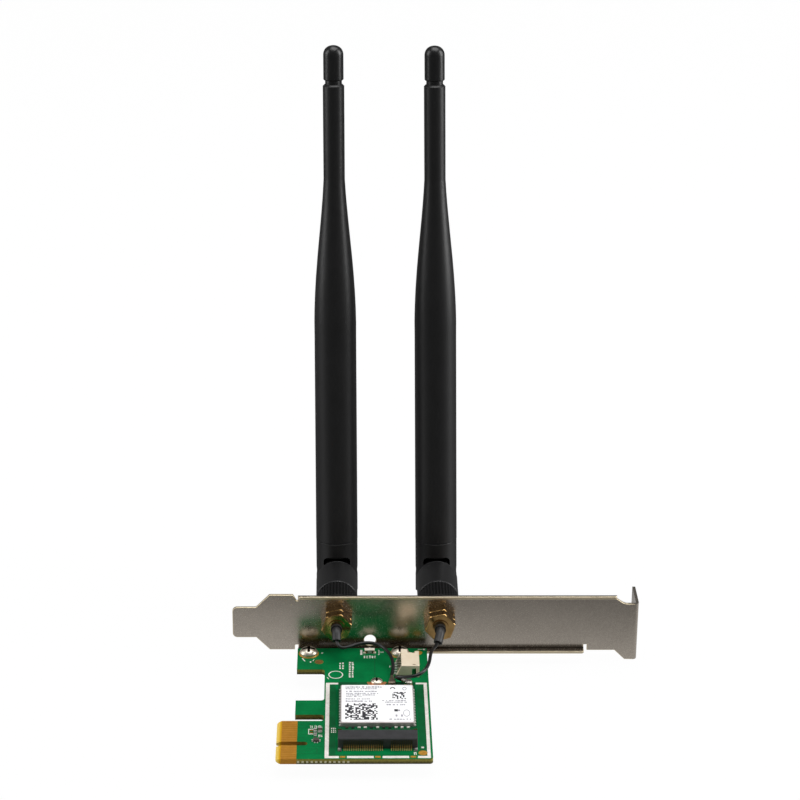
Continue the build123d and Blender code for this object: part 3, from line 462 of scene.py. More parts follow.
def chipBodies(name, look):
    # a row of small parts in several dark and light bodies, each one colour, by its place along the row
    material, tree, shader = startMaterial(name, IOR=1.6)
    place = addNode(tree, "ShaderNodeTexCoord").outputs["Object"]
    step = addNode(
        tree, "ShaderNodeVectorMath", {0: place, 1: (look["pitch"] * mm, 1.0, 1.0)}, operation="SNAP",
    )
    pick = addNode(tree, "ShaderNodeTexWhiteNoise", {"Vector": step.outputs["Vector"]}, noise_dimensions="3D")
    colour = addNode(tree, "ShaderNodeValToRGB", {"Fac": pick.outputs["Value"]}, stops=look["bodies"])
    colour.color_ramp.interpolation = "CONSTANT"
    tree.links.new(colour.outputs["Color"], shader.inputs["Base Color"])
    grain = addNode(
        tree, "ShaderNodeTexNoise", {"Vector": place, "Scale": 1 / (look["grain"] * mm), "Detail": 3.0},
    )
    rough = addNode(
        tree, "ShaderNodeMapRange",
        {"Value": grain.outputs["Fac"], "To Min": look["roughness"][0], "To Max": look["roughness"][1]},
    )
    tree.links.new(rough.outputs["Result"], shader.inputs["Roughness"])
    bump = addNode(
        tree, "ShaderNodeBump",
        {"Height": grain.outputs["Fac"], "Distance": look["bump"] * mm, "Strength": 1.0},
    )
    tree.links.new(bump.outputs["Normal"], shader.inputs["Normal"])
    return material


boardLook = {
    "dark": "#006233", "light": "#00733c", "patch": 7.0, "weave": 0.55,
    "edge": ((0.2, "#3f3d28"), (0.45, "#615c33"), (0.62, "#8b833d"), (0.8, "#6f6a33")),
    "fleck": "#b9b595", "fleckPitch": 0.62, "fleckHalf": 0.3, "fleckReach": 8.0, "fleckMiddle": 12.5,
    "fleckHeight": -0.12, "fleckTall": 0.3, "frontEdge": -8.0, "half": 0.8, "tipReach": 6.0,
    "roughness": (0.7, 0.5), "bump": 0.002,  # roughness of the sawn edge, then of the lacquer
    "tab": ((0.05, "#dcbc5c"), (0.13, "#d6b14a"), (0.17, "#c89a1c"), (0.23, "#c08a1f"), (0.26, "#a9762a")),
    "tabEnd": 5.7, "tabSide": 12.2,
}
moduleLook = dict(boardLook, dark="#0b4527", light="#115a35", tabEnd=-5.0, fleckReach=0.0)
made["zincSteel"] = zincSteel(
    "zincSteel",
    {
        "dark": "#b0a79c", "light": "#c5bcb0", "patch": 9.0, "grain": 0.3, "roughness": (0.2, 0.28),
        "bump": 0.001,
    },
)
# cut faces and rounded edges of the sheet: sheared steel, its pale cream painted as the highlight that these
# edges catch
made["shearedEdgeWithHighlight"] = zincSteel(
    "shearedEdgeWithHighlight",
    {
        "dark": "#d6c6a6", "light": "#f3e6cb", "patch": 2.0, "grain": 0.2, "roughness": (0.35, 0.5),
        "bump": 0.002,
    },
)
made["solderMask"] = solderMask("solderMask", boardLook)
made["moduleMask"] = solderMask("moduleMask", moduleLook)
made["chipBodies"] = chipBodies(
    "chipBodies",
    {
        "pitch": 1.7, "bodies": ((0.0, "#1a1a1a"), (0.35, "#3a2d22"), (0.5, "#d8d3cb")), "grain": 0.15,
        "roughness": (0.35, 0.6), "bump": 0.003,
    },
)

finishOfNode = {
    "circuit_board": "solderMask",
    "edge_contacts": "hardGold",
    "board_pads": "filmedGold",
    "slot_bracket": "zincSteel",
    "status_led": "diffusingResin",
    "chip_parts": "firedCeramic",
    "module_board": "moduleMask",
    "module_pad": "bareCopper",
    "module_shield": "nickelSilver",
    "module_label": "coatedPaper",
    "module_chips": "chipBodies",
    "module_socket": "glassFilledLcp",
    "socket_contacts": "goldShadedAbove",
    "socket_clips": "tinPlate",
    "module_standoff": "tinPlate",
    "module_receptacles": "immersionGold",
    "jack_nuts": "turnedBrass",
    "lock_washers": "turnedBrass",
    "outer_nuts": "turnedBrass",
    "header_housing": "ivoryNylon",
    "header_pins": "tinPlate",
    "header_tabs": "tinPlate",
}
finishOfSide = {
    "pigtail": "coaxJacket",
    "sleeve": "shrinkPolyolefin",
    "coax_plug": "plugPlate",
    "jack": "turnedBrass",
    "jack_insulator": "turnedPtfe",
    "jack_contact": "immersionGold",
    "coupling_nut": "knurledAbs",
    "elbow": "sparkErodedAbs",
    "antenna_pin": "immersionGold",
    "hinge_pin": "nickelPlate",
    "fork": "sparkErodedAbs",
    "mast": "sparkErodedAbs",
    "tip_cap": "smoothTpe",
    "radiator": "turnedBrass",
}
for side in ("left", "right"):
    for piece, finish in finishOfSide.items():
        finishOfNode[side + "_" + piece] = finish
finishOfNode["right_coax_plug"] = "plugSilver"
for name, finish in finishOfNode.items():
    mesh = nodes[name].data
    mesh.materials.clear()
    mesh.materials.append(made[finish])
print("finishes on", len(finishOfNode), "nodes")


# Cords: the two thin coax leads from the jacks to the module's plugs
leadRoutes = {
    "left": (
        (16.378, 47.622, 8.018), (16.409, 46.316, 6.930), (17.65, 44.75, 5.90), (19.70, 45.70, 5.80),
        (22.60, 47.60, 5.80), (25.90, 48.50, 5.80), (28.90, 47.40, 5.60), (31.00, 44.80, 5.30),
        (32.30, 41.40, 5.00), (32.80, 37.90, 4.60), (32.70, 34.80, 4.15), (32.30, 33.10, 3.975),
        (32.30, 31.50, 3.975),
    ),
    "right": (
        (46.226, 46.766, 7.756), (45.835, 45.397, 6.827), (44.05, 41.20, 7.40), (43.45, 37.10, 7.80),
        (43.10, 33.00, 8.00), (42.25, 29.45, 7.90), (40.65, 27.15, 7.50), (38.65, 26.35, 7.00),
        (36.40, 26.65, 6.50), (34.40, 27.70, 6.00), (33.50, 28.77, 5.46), (33.29, 29.57, 5.01),
        (33.72, 30.13, 4.37), (34.557, 30.109, 3.975), (35.266, 29.554, 3.975),
    ),
}
leadSize = {"diameter": 1.0, "length": {"left": 32.75, "right": 32.73}}


def coaxLead(side):
    data = bpy.data.curves.new(side + "Lead", "CURVE")
    data.dimensions = "3D"
    spline = data.splines.new("NURBS")
    route = leadRoutes[side]
    spline.points.add(len(route) - 1)
    for point, place in zip(spline.points, route):
        point.co = (*(Vector(place) * mm), 1.0)
    spline.order_u = 3
    spline.use_endpoint_u = True
    spline.resolution_u = 10
    data.bevel_depth = leadSize["diameter"] / 2 * mm
    data.bevel_resolution = 5
    data.use_fill_caps = True
    data.materials.append(made["coaxJacket"])
    lead = bpy.data.objects.new(side + "Lead", data)
    bpy.context.collection.objects.link(lead)
    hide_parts(side + "_pigtail")
    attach(lead, "card")


for side in leadRoutes:
    coaxLead(side)
print("coax leads laid")


# Mesh helpers

def finishPiece(name, mesh, finishNames, body="card"):
    data = bpy.data.meshes.new(name)
    mesh.to_mesh(data)
    mesh.free()
    for finish in finishNames:
        data.materials.append(made[finish])
    piece = bpy.data.objects.new(name, data)
    bpy.context.collection.objects.link(piece)
    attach(piece, body)
    return piece


def mergedCopy(node):
    # a welded copy of a CAD node's mesh
    mesh = bmesh.new()
    mesh.from_mesh(nodes[node].data)
    bmesh.ops.remove_doubles(mesh, verts=mesh.verts, dist=1e-6)
    return mesh


def addBlock(mesh, low, high, slot=0, turn=0.0):
    # a block between two corners in mm, turned about its own middle
    low, high = Vector(low) * mm, Vector(high) * mm
    place = Matrix.Translation((low + high) / 2) @ Matrix.Rotation(
        math.radians(turn), 4, "Z",
    ) @ Matrix.Diagonal((*(high - low), 1.0))
    corners = bmesh.ops.create_cube(mesh, size=1.0, matrix=place)["verts"]
    for face in {f for v in corners for f in v.link_faces}:
        face.material_index = slot


def addRing(mesh, middle, inner, outer, low, tall, stretch=1.0, start=0.0, sweep=360.0, slot=0):
    # a flat ring, or part of one, spun from its own section; stretch lengthens it along Y
    before = set(mesh.verts)
    section = [
        mesh.verts.new((r * mm, 0, z * mm))
        for r, z in ((inner, low), (outer, low), (outer, low + tall), (inner, low + tall))
    ]
    whole = sweep >= 360
    if whole:
        geom = [mesh.edges.new((section[i], section[(i + 1) % 4])) for i in range(4)]
    else:
        geom = [mesh.faces.new(section)]
    bmesh.ops.spin(
        mesh, geom=section + geom, cent=(0, 0, 0), axis=(0, 0, 1), angle=math.radians(sweep), steps=28,
        use_merge=whole,
    )
    grown = [v for v in mesh.verts if v not in before]
    place = Matrix.Translation(
        Vector((*middle, 0)) * mm
    ) @ Matrix.Diagonal((1, stretch, 1, 1)) @ Matrix.Rotation(
        math.radians(start), 4, "Z",
    )
    bmesh.ops.transform(mesh, matrix=place, verts=grown)
    faces = list({f for v in grown for f in v.link_faces})
    bmesh.ops.recalc_face_normals(mesh, faces=faces)
    for face in faces:
        face.material_index = slot


# Folded bracket: the CAD sheet with the small rounds that shearing and plating leave on its edges
bracketEdges = {
    "round": 0.2, "lipRound": 0.22, "sharp": 50, "inside": 57.15, "outside": 58.01, "lipFront": 56.9,
    "crease": ((56.7, 57.14), (-0.79, -0.3)),
}


def foldedBracket():
    mesh = mergedCopy("slot_bracket")
    bmesh.ops.dissolve_limit(mesh, angle_limit=math.radians(1), verts=mesh.verts, edges=mesh.edges)
    look = bracketEdges
    for face in mesh.faces:
        middle = face.calc_center_median() / mm
        # cut faces inside the sheet and the lips' front faces (slot 1) take the pale sheared finish with its
        # painted highlight
        inSheet = look["inside"] + 0.05 < middle.y < look["outside"] - 0.05 and abs(face.normal.y) < 0.3
        lipEdge = middle.y < look["lipFront"] and face.normal.y < -0.7
        # faces inside the lower lip's fold take the crease's painted shade (slot 2)
        (nearY, farY), (lowZ, highZ) = look["crease"]
        crease = nearY < middle.y < farY and lowZ < middle.z < highZ and face.normal.z > 0.05
        face.material_index = 2 if crease else 1 if inSheet or lipEdge else 0
        face.smooth = False
    sharp = [e for e in mesh.edges if e.is_manifold and e.calc_face_angle(0) > math.radians(look["sharp"])]
    lips = [
        e for e in sharp if all(v.co.y < look["lipFront"] * mm for v in e.verts)
        and abs(e.verts[0].co.z - e.verts[1].co.z) < 1e-6
    ]
    rims = [e for e in sharp if all(abs(v.co.y - look["inside"] * mm) < 1e-5 for v in e.verts)]
    for edges, offset in ((lips, look["lipRound"]), (rims, look["round"])):
        rounds = bmesh.ops.bevel(
            mesh, geom=[e for e in edges if e.is_valid], offset=offset * mm, offset_type="OFFSET",
            affect="EDGES", segments=5,
            profile=0.5, material=-1, clamp_overlap=False,
        )["faces"]
        # the rounds take the pale sheared finish with its painted highlight
        for face in rounds:
            face.material_index = 1
            face.smooth = True
    for edge in mesh.edges:
        edge.smooth = edge.is_manifold and edge.calc_face_angle(0) < math.radians(30)
    piece = finishPiece("foldedBracket", mesh, ["zincSteel", "shearedEdgeWithHighlight", "creaseShade"])
    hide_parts("slot_bracket")


foldedBracket()

# Hex of the jacks and their nuts: straight rims broken by the turning tool, which catch the light as bright
# lines
hexRims = {
    "middles": ((16.35, 9.0), (46.75, 9.0)), "spans": ((51.35, 54.35), (54.35, 57.15)), "flat": 4.0,
    "proud": 0.02, "turn": 42.0, "rim": 0.36,
}


def hexBodies():
    look = hexRims
    mesh = bmesh.new()
    corner = (look["flat"] + look["proud"]) / math.cos(math.pi / 6)
    for x, z in look["middles"]:
        for start, end in look["spans"]:
            place = Matrix.Translation(Vector((x, (start + end) / 2 - look["proud"], z)) * mm)
            place = place @ Matrix.Rotation(
                math.radians(-look["turn"]), 4, "Y",
            ) @ Matrix.Rotation(math.radians(90), 4, "X")
            bmesh.ops.create_cone(
                mesh, cap_ends=True, segments=6, radius1=corner * mm, radius2=corner * mm,
                depth=(end - start) * mm, matrix=place,
            )
    rims = [e for e in mesh.edges if abs(e.verts[0].co.y - e.verts[1].co.y) < 1e-6]
    rounds = bmesh.ops.bevel(
        mesh, geom=rims, offset=look["rim"] * mm, offset_type="OFFSET", affect="EDGES", segments=3,
        profile=0.5, material=-1, clamp_overlap=True,
    )["faces"]
    for face in rounds:
        face.smooth = True
    for edge in mesh.edges:
        edge.smooth = edge.calc_face_angle(0) < math.radians(32)
    finishPiece("hexBodies", mesh, ["turnedBrass"])


hexBodies()

# Cross-head screws: nickel heads, the CAD recess, and painted shade along the arms of the cross, reaching a
# little beyond the recess
crossScrews = {
    "bracket_screws": {"middles": ((8.2, 50.8), (35.0, 50.8)), "arm": (0.42, 1.85), "level": 1.8},
    "module_screw": {"middles": ((27.95, 30.0), (27.95, 30.0)), "arm": (0.27, 1.15), "level": 3.5},
}
headFinish = {
    "grain": 0.2, "plate": ((0.3, "#d3cab9"), (0.7, "#ece4d4")),
    "recessShade": ((0.35, "#16120e"), (0.65, "#33291f")),
    "ragged": 0.12, "roughness": (0.4, 0.55), "bump": 0.0015,
}


def recessShadedHead(name, look):
    # bright nickel, with painted shade, black and ragged, along the arms of the cross
    material, tree, shader = startMaterial(name, Metallic=1.0)
    place = addNode(tree, "ShaderNodeTexCoord").outputs["Object"]
    grain = addNode(
        tree, "ShaderNodeTexNoise", {"Vector": place, "Scale": 1 / (headFinish["grain"] * mm), "Detail": 3.0},
    )
    plate = addNode(tree, "ShaderNodeValToRGB", {"Fac": grain.outputs["Fac"]}, stops=headFinish["plate"])
    recessShade = addNode(tree, "ShaderNodeValToRGB", {"Fac": grain.outputs["Fac"]}, stops=headFinish["recessShade"])
    ragged = addNode(
        tree, "ShaderNodeMapRange",
        {
            "Value": grain.outputs["Fac"], "To Min": -headFinish["ragged"] * mm,
            "To Max": headFinish["ragged"] * mm,
        },
    )
    spot = addNode(tree, "ShaderNodeSeparateXYZ", {"Vector": place})
    away = []  # distance from the nearer head's middle, across and along
    for axis, index in (("X", 0), ("Y", 1)):
        gaps = []
        for middle in look["middles"]:
            gap = addNode(
                tree, "ShaderNodeMath", {0: spot.outputs[axis], 1: middle[index] * mm}, operation="SUBTRACT",
            )
            gaps.append(
                addNode(
                    tree, "ShaderNodeMath", {0: gap.outputs["Value"]}, operation="ABSOLUTE",
                ).outputs["Value"]
            )
        near = addNode(tree, "ShaderNodeMath", {0: gaps[0], 1: gaps[1]}, operation="MINIMUM")
        away.append(
            addNode(
                tree, "ShaderNodeMath", {0: near.outputs["Value"], 1: ragged.outputs["Result"]},
                operation="ADD",
            ).outputs["Value"]
        )
    thin, long = look["arm"]
    arms = []
    for first, second in ((away[0], away[1]), (away[1], away[0])):
        narrow = addNode(tree, "ShaderNodeMath", {0: first, 1: thin * mm}, operation="LESS_THAN")
        reach = addNode(tree, "ShaderNodeMath", {0: second, 1: long * mm}, operation="LESS_THAN")
        arms.append(
            addNode(
                tree, "ShaderNodeMath", {0: narrow.outputs["Value"], 1: reach.outputs["Value"]},
                operation="MULTIPLY",
            ).outputs["Value"]
        )
    cross = addNode(tree, "ShaderNodeMath", {0: arms[0], 1: arms[1]}, operation="MAXIMUM")
    above = addNode(
        tree, "ShaderNodeMath", {0: spot.outputs["Z"], 1: look["level"] * mm}, operation="GREATER_THAN",
    )
    cross = addNode(
        tree, "ShaderNodeMath", {0: cross.outputs["Value"], 1: above.outputs["Value"]}, operation="MULTIPLY",
    )
    # painted shade of the recess over the plate's colour
    tint = addNode(
        tree, "ShaderNodeMix",
        {"Factor": cross.outputs["Value"], "A": plate.outputs["Color"], "B": recessShade.outputs["Color"]},
        data_type="RGBA",
    )
    tree.links.new(tint.outputs["Result"], shader.inputs["Base Color"])
    rough = addNode(
        tree, "ShaderNodeMapRange",
        {
            "Value": cross.outputs["Value"], "To Min": headFinish["roughness"][0],
            "To Max": headFinish["roughness"][1],
        },
    )
    tree.links.new(rough.outputs["Result"], shader.inputs["Roughness"])
    bump = addNode(
        tree, "ShaderNodeBump",
        {"Height": grain.outputs["Fac"], "Distance": headFinish["bump"] * mm, "Strength": 1.0},
    )
    tree.links.new(bump.outputs["Normal"], shader.inputs["Normal"])
    return material


for node, look in crossScrews.items():
    mesh = nodes[node].data
    mesh.materials.clear()
    mesh.materials.append(recessShadedHead("recessShaded_" + node, look))
print("bracket and screws dressed")


# Printing on the board: frame, marks and rows of dashes
boardPrint = {
    "level": 0.8, "thick": 0.02,
    "bars": (
        (13.4, 14.5, -7.75, 33.5), (14.5, 17.0, 32.6, 33.5), (39.2, 42.45, 32.6, 33.5),
        (41.45, 42.4, -6.6, 32.6),
        (14.5, 17.3, -7.75, -6.6), (19.5, 26.8, -7.75, -6.6), (29.2, 36.45, -7.75, -6.6),
        (38.85, 42.4, -7.75, -6.6),
        (23.35, 23.95, 50.0, 52.9), (28.75, 28.95, 50.0, 52.9), (28.5, 28.75, 52.7, 52.9),
        (28.5, 28.75, 50.0, 50.2),
        (40.3, 41.65, 53.15, 53.35), (29.35, 29.5, 51.2, 51.95), (29.35, 30.15, 51.5, 51.65),
        (29.95, 30.15, 51.2, 51.95),
        (11.9, 12.05, 50.7, 51.5), (12.25, 12.4, 50.7, 51.5), (12.05, 12.25, 51.0, 51.15),
        (8.6, 9.0, 45.4, 46.1), (31.75, 31.9, 42.4, 43.4), (31.9, 32.2, 43.1, 43.4),
        (31.9, 32.15, 42.7, 42.9),
        (37.8, 38.0, -6.1, -4.7), (38.0, 38.5, -5.0, -4.7), (38.3, 38.5, -6.1, -5.0),
        (39.9, 40.65, -2.6, -1.8),
        # outline of the empty place for a part, left of the small soldered parts
        (8.75, 10.2, 7.45, 7.75), (8.75, 10.2, 4.9, 5.2), (8.75, 8.95, 5.2, 7.45),
    ),
    "dashes": (  # x, y, wide, tall of a block, and how many dashes across and along
        (24.25, 47.9, 3.85, 1.7, 5, 2), (17.1, 41.4, 1.6, 4.2, 2, 3), (19.85, 36.5, 1.75, 9.4, 2, 9),
        (15.0, 5.6, 1.6, 2.9, 3, 3), (9.15, 8.2, 0.9, 1.5, 2, 3), (10.35, 8.2, 0.9, 1.5, 2, 3),
        (11.45, 8.2, 1.0, 1.5, 2, 3),
        (11.5, 3.4, 1.2, 1.4, 3, 2),
    ),
    # x, y, wide, long, turn
    "strokes": ((6.75, 47.1, 0.3, 2.0, 25), (9.65, 46.8, 0.2, 1.0, -25), (13.95, 36.2, 0.2, 1.2, 22)),
    "oval": {"middle": (16.2, 38.2), "inner": 1.85, "outer": 2.15, "stretch": 1.05},
    "dots": ((38.65, 33.55), (34.25, 33.55), (42.1, 53.25)),
}


def printBoard():
    look = boardPrint
    low, high = look["level"] - 0.005, look["level"] + look["thick"]
    chance = random.Random(7)
    mesh = bmesh.new()
    for x0, x1, y0, y1 in look["bars"]:
        addBlock(mesh, (x0, y0, low), (x1, y1, high))
    for x, y, wide, tall, across, along in look["dashes"]:
        stepX, stepY = wide / across, tall / along
        for column in range(across):
            for row in range(along):
                left = x + stepX * (column + 0.12 + 0.1 * chance.random())
                near = y + stepY * (row + 0.12)
                size = (stepX * (0.45 + 0.25 * chance.random()), stepY * (0.5 + 0.25 * chance.random()))
                addBlock(mesh, (left, near, low), (left + size[0], near + size[1], high))
    for x, y, wide, long, turn in look["strokes"]:
        addBlock(mesh, (x - wide / 2, y - long / 2, low), (x + wide / 2, y + long / 2, high), turn=turn)
    oval = look["oval"]
    addRing(mesh, oval["middle"], oval["inner"], oval["outer"], low, high - low, stretch=oval["stretch"])
    for x, y in look["dots"]:
        addRing(mesh, (x, y), 0.05, 0.35, low, high - low)
    finishPiece("boardPrint", mesh, ["screenInk"])


printBoard()

# Places without copper under the lacquer: gaps between the planes, and the runs cut out of them; and two
# strips of painted shadow of the module, along its sides inside its printed frame
darkLacquer = {
    "level": 0.8, "thick": 0.008,
    "bars": (
        # the first two bars are painted shadow of the module along its sides
        (14.5, 16.3, -6.6, 32.6), (39.4, 41.45, -6.6, 32.6), (27.4, 27.7, 36.2, 47.6),
        (16.3, 39.4, -6.2, -5.9),
        (6.0, 7.4, 9.9, 10.1), (6.0, 8.1, 8.3, 8.5), (6.0, 7.2, 6.6, 6.8), (6.0, 8.3, 4.9, 5.1),
        (6.0, 7.6, 3.3, 3.5),
        (9.2, 12.9, -1.5, -1.3), (8.6, 11.5, -2.9, -2.7), (6.0, 9.8, -3.9, -3.7), (6.0, 12.9, -5.4, -5.2),
        (11.2, 11.4, -5.2, -2.9),
        (40.9, 41.1, 36.0, 39.5), (17.2, 17.4, 34.6, 35.6),
    ),
}


def layDarkLacquer():
    look = darkLacquer
    mesh = bmesh.new()
    for x0, x1, y0, y1 in look["bars"]:
        addBlock(mesh, (x0, y0, look["level"] - 0.005), (x1, y1, look["level"] + look["thick"]))
    finishPiece("darkLacquer", mesh, ["laminateGapsAndShade"])


layDarkLacquer()
print("board printed")


# Small soldered parts: their tinned ends, leads and pads, and the two bare pads of the empty place
chipEnds = {
    "level": 0.8,
    "caps": (  # parts with an end cap at each end along Y: x0, x1, y0, y1, tall, cap
        (10.25, 11.05, 5.7, 7.3, 0.5, 0.4), (10.35, 11.15, 3.4, 4.8, 0.5, 0.35),
        (11.4, 12.6, 5.45, 7.75, 0.6, 0.3),
    ),
    "proud": 0.03, "leadTall": 0.16, "padTall": 0.03, "cornerTall": 0.3, "brownTall": 0.06,
    "leads": (  # feet of the five-legged part
        (9.75, 10.2, 0.85, 1.25), (9.75, 10.2, 1.55, 1.95), (11.8, 12.25, 0.85, 1.25),
        (11.8, 12.25, 1.55, 1.95),
        (10.45, 10.8, 0.1, 0.65), (11.2, 11.55, 0.1, 0.65),
    ),
    "barePads": ((9.15, 10.05, 5.3, 6.0), (9.15, 10.05, 6.65, 7.35)),
    "corners": (
        (17.0, 17.75, -3.6, -2.85), (38.15, 38.9, -3.6, -2.85), (17.1, 17.5, -2.9, -2.5),
        (38.4, 38.8, -2.9, -2.5),
    ),
    "brownPad": ((11.3, 45.8), 1.2),
    "tails": {"x": (32.9, 34.1), "first": 38.5, "pitch": 1.5, "count": 5, "half": 0.3, "tall": 0.36},
}


def solderChips():
    look = chipEnds
    low, proud = look["level"], look["proud"]
    mesh = bmesh.new()
    for x0, x1, y0, y1, tall, cap in look["caps"]:
        for near, far in ((y0 - proud, y0 + cap), (y1 - cap, y1 + proud)):
            addBlock(mesh, (x0 - proud, near, low), (x1 + proud, far, low + tall + proud))
    for x0, x1, y0, y1 in look["leads"]:
        addBlock(mesh, (x0, y0, low), (x1, y1, low + look["leadTall"]))
    for x0, x1, y0, y1 in look["barePads"]:
        addBlock(mesh, (x0, y0, low - 0.005), (x1, y1, low + look["padTall"]), slot=1)
    for x0, x1, y0, y1 in look["corners"]:
        addBlock(mesh, (x0, y0, low), (x1, y1, low + look["cornerTall"]))
    middle, reach = look["brownPad"]
    addRing(mesh, middle, 0.02, reach, low, look["brownTall"], slot=2)
    tails = look["tails"]
    for n in range(tails["count"]):
        y = tails["first"] + n * tails["pitch"]
        addBlock(
            mesh, (tails["x"][0], y - tails["half"], low),
            (tails["x"][1], y + tails["half"], low + tails["tall"]),
        )
    finishPiece("chipEnds", mesh, ["frozenSolder", "immersionGold", "brownGold"])


solderChips()

# Front of the side-facing light: dark window, pale middle and its two gilt ends
lightFront = {
    "face": 50.7, "window": (24.7, 27.5, 0.92, 1.72), "middle": (25.5, 26.7, 1.05, 1.6),
    "ends": ((24.65, 25.15, 0.85, 1.55), (27.05, 27.55, 0.85, 1.55)),
}


def dressLight():
    look = lightFront
    mesh = bmesh.new()
    face = look["face"]
    plates = [(look["window"], 0.02, 0), (look["middle"], 0.05, 1)] + [(end, 0.06, 2) for end in look["ends"]]
    for (x0, x1, z0, z1), proud, slot in plates:
        addBlock(mesh, (x0, face - proud, z0), (x1, face + 0.02, z1), slot=slot)
    finishPiece("lightFront", mesh, ["firedCeramic", "frozenSolder", "immersionGold"])


dressLight()
print("small parts dressed")


# Label: a block of random cells, a smaller one, and rows of dashes
labelPrint = {
    "level": 4.41, "thick": 0.012, "filled": 0.55,
    "dash": (0.25, 0.8), "shortest": 0.3, "gaps": (0.12, 0.12, 0.15, 0.5),
    # x, y, wide, tall, across, along
    "codes": ((18.97, 6.62, 9.05, 8.92, 19, 17), (32.2, 17.98, 3.9, 3.92, 9, 8)),
    "rows": (  # x0, x1, y0, y1 of a row
        (19.06, 29.8, 24.4, 25.15), (19.06, 28.6, 23.5, 24.1), (19.2, 28.4, 22.0, 22.65),
        (19.2, 28.65, 20.9, 21.5), (19.2, 27.9, 20.0, 20.6),
        (19.2, 23.9, 19.15, 19.65), (19.1, 25.9, 17.8, 18.4), (19.1, 26.9, 16.45, 17.2),
        (29.35, 36.35, 16.85, 17.4), (30.2, 36.3, 15.95, 16.5), (30.55, 36.2, 14.5, 15.2),
        (31.25, 37.4, 6.6, 7.2),
    ),
    "rings": (
        ((32.4, 23.6), 0.45, 0.75, 1.5, 0, 180, 0), ((35.75, 23.8), 0.4, 0.6, 1.6, 0, 360, 1),
        ((36.1, 10.2), 0.8, 0.95, 2.0, 0, 360, 1),
    ),
    "blocks": (
        (32.7, 33.7, 11.1, 12.3, 0), (33.75, 34.3, 11.3, 12.1, 1), (33.0, 33.5, 8.3, 9.4, 1),
        (34.5, 35.0, 8.3, 9.4, 1),
    ),
}


def printLabel():
    look = labelPrint
    low, high = look["level"] - 0.004, look["level"] + look["thick"]
    chance = random.Random(23)
    mesh = bmesh.new()
    for x, y, wide, tall, across, along in look["codes"]:
        cellX, cellY = wide / across, tall / along
        for row in range(along):
            for column in range(across):
                if chance.random() < look["filled"]:
                    addBlock(
                        mesh, (x + column * cellX, y + row * cellY, low),
                        (x + (column + 1) * cellX, y + (row + 1) * cellY, high),
                    )
    for x0, x1, y0, y1 in look["rows"]:
        x = x0
        while x < x1 - look["shortest"]:
            wide = min(chance.uniform(*look["dash"]), x1 - x)
            addBlock(mesh, (x, y0, low), (x + wide, y1 - chance.uniform(0, 0.2), high), slot=1)
            x += wide + chance.choice(look["gaps"])
    for middle, inner, outer, stretch, start, sweep, slot in look["rings"]:
        addRing(
            mesh, middle, inner, outer, low, high - low, stretch=stretch, start=start, sweep=sweep, slot=slot,
        )
    for x0, x1, y0, y1, slot in look["blocks"]:
        addBlock(mesh, (x0, y0, low), (x1, y1, high), slot=slot)
    finishPiece("labelPrint", mesh, ["thermalInk", "finePrint"])


printLabel()

# Solder fillets that hold the can, in a row along each side of the module
canSolder = {
    "level": 3.05, "middle": 27.95, "out": 10.3, "wide": 0.38, "long": 0.75, "tall": 0.3, "first": 5.7,
    "last": 25.6, "pitch": 1.5, "slope": 0.22,
}


def solderCan():
    look = canSolder
    mesh = bmesh.new()
    count = int((look["last"] - look["first"]) / look["pitch"]) + 1
    for side in (-1, 1):
        inner = look["middle"] + side * look["out"]
        outer = inner + side * look["wide"]
        for n in range(count):
            y = look["first"] + n * look["pitch"]
            addBlock(
                mesh, (min(inner, outer), y - look["long"] / 2, look["level"]),
                (max(inner, outer), y + look["long"] / 2, look["level"] + look["tall"]),
            )
    # slope each lump down to the board on its outer side
    outerTop = {
        v for v in mesh.verts if v.co.z > (look["level"] + 0.1) * mm
        and abs(v.co.x / mm - look["middle"]) > look["out"] + 0.1
    }
    slopes = [e for e in mesh.edges if outerTop.issuperset(e.verts)]
    bmesh.ops.bevel(
        mesh, geom=slopes, offset=look["slope"] * mm, offset_type="OFFSET", affect="EDGES", segments=2,
        profile=0.5, material=-1, clamp_overlap=True,
    )
    finishPiece("canSolder", mesh, ["frozenSolder"])


solderCan()
print("module dressed")


# Rounded rims of the antennas' feet, about the jacks' axes, in a lighter grey painted as their highlight
footRims = {
    "left": (16.35, 9.0), "right": (46.75, 9.0), "rims": ((69.525, 5.925), (82.325, 6.025)), "round": 0.2,
    "steps": 56,
}


def rimFoot(side):
    x, z = footRims[side]
    mesh = bmesh.new()
    for y, reach in footRims["rims"]:
        place = Matrix.Translation(Vector((x + reach, y, z)) * mm)
        ring = bmesh.ops.create_circle(
            mesh, cap_ends=False, radius=footRims["round"] * mm, segments=8, matrix=place,
        )["verts"]
        edges = list({e for v in ring for e in v.link_edges})
        bmesh.ops.spin(
            mesh, geom=ring + edges, cent=Vector((x, y, z)) * mm, axis=(0, 1, 0), angle=math.tau,
            steps=footRims["steps"], use_merge=True,
        )
    bmesh.ops.recalc_face_normals(mesh, faces=mesh.faces)
    for face in mesh.faces:
        face.smooth = True
    finishPiece(side + "FootRims", mesh, ["rimPaintedHighlight"], side + "_base")


for side in ("left", "right"):
    rimFoot(side)
print("antenna feet dressed")


# Stage and light
sweep = {"front": -0.3, "back": 0.9, "bend": 0.25, "top": 1.8, "half": 1.8}
paper = {
    "seen": 0.97, "matt": 0.9, "lean": -0.15, "from": -0.1, "to": 0.2,
    # greys: a painted band of light on the paper, seen only in reflections
    "greys": ((0.0, "#616161"), (0.333, "#767676"), (0.517, "#d4d4d4"), (0.667, "#616161")),
    # shade: a painted shadow of the card on the paper, seen only in reflections
    "shade": {"middle": (0.027, 0.0235), "half": (0.017, 0.033), "dark": 0.1},
}


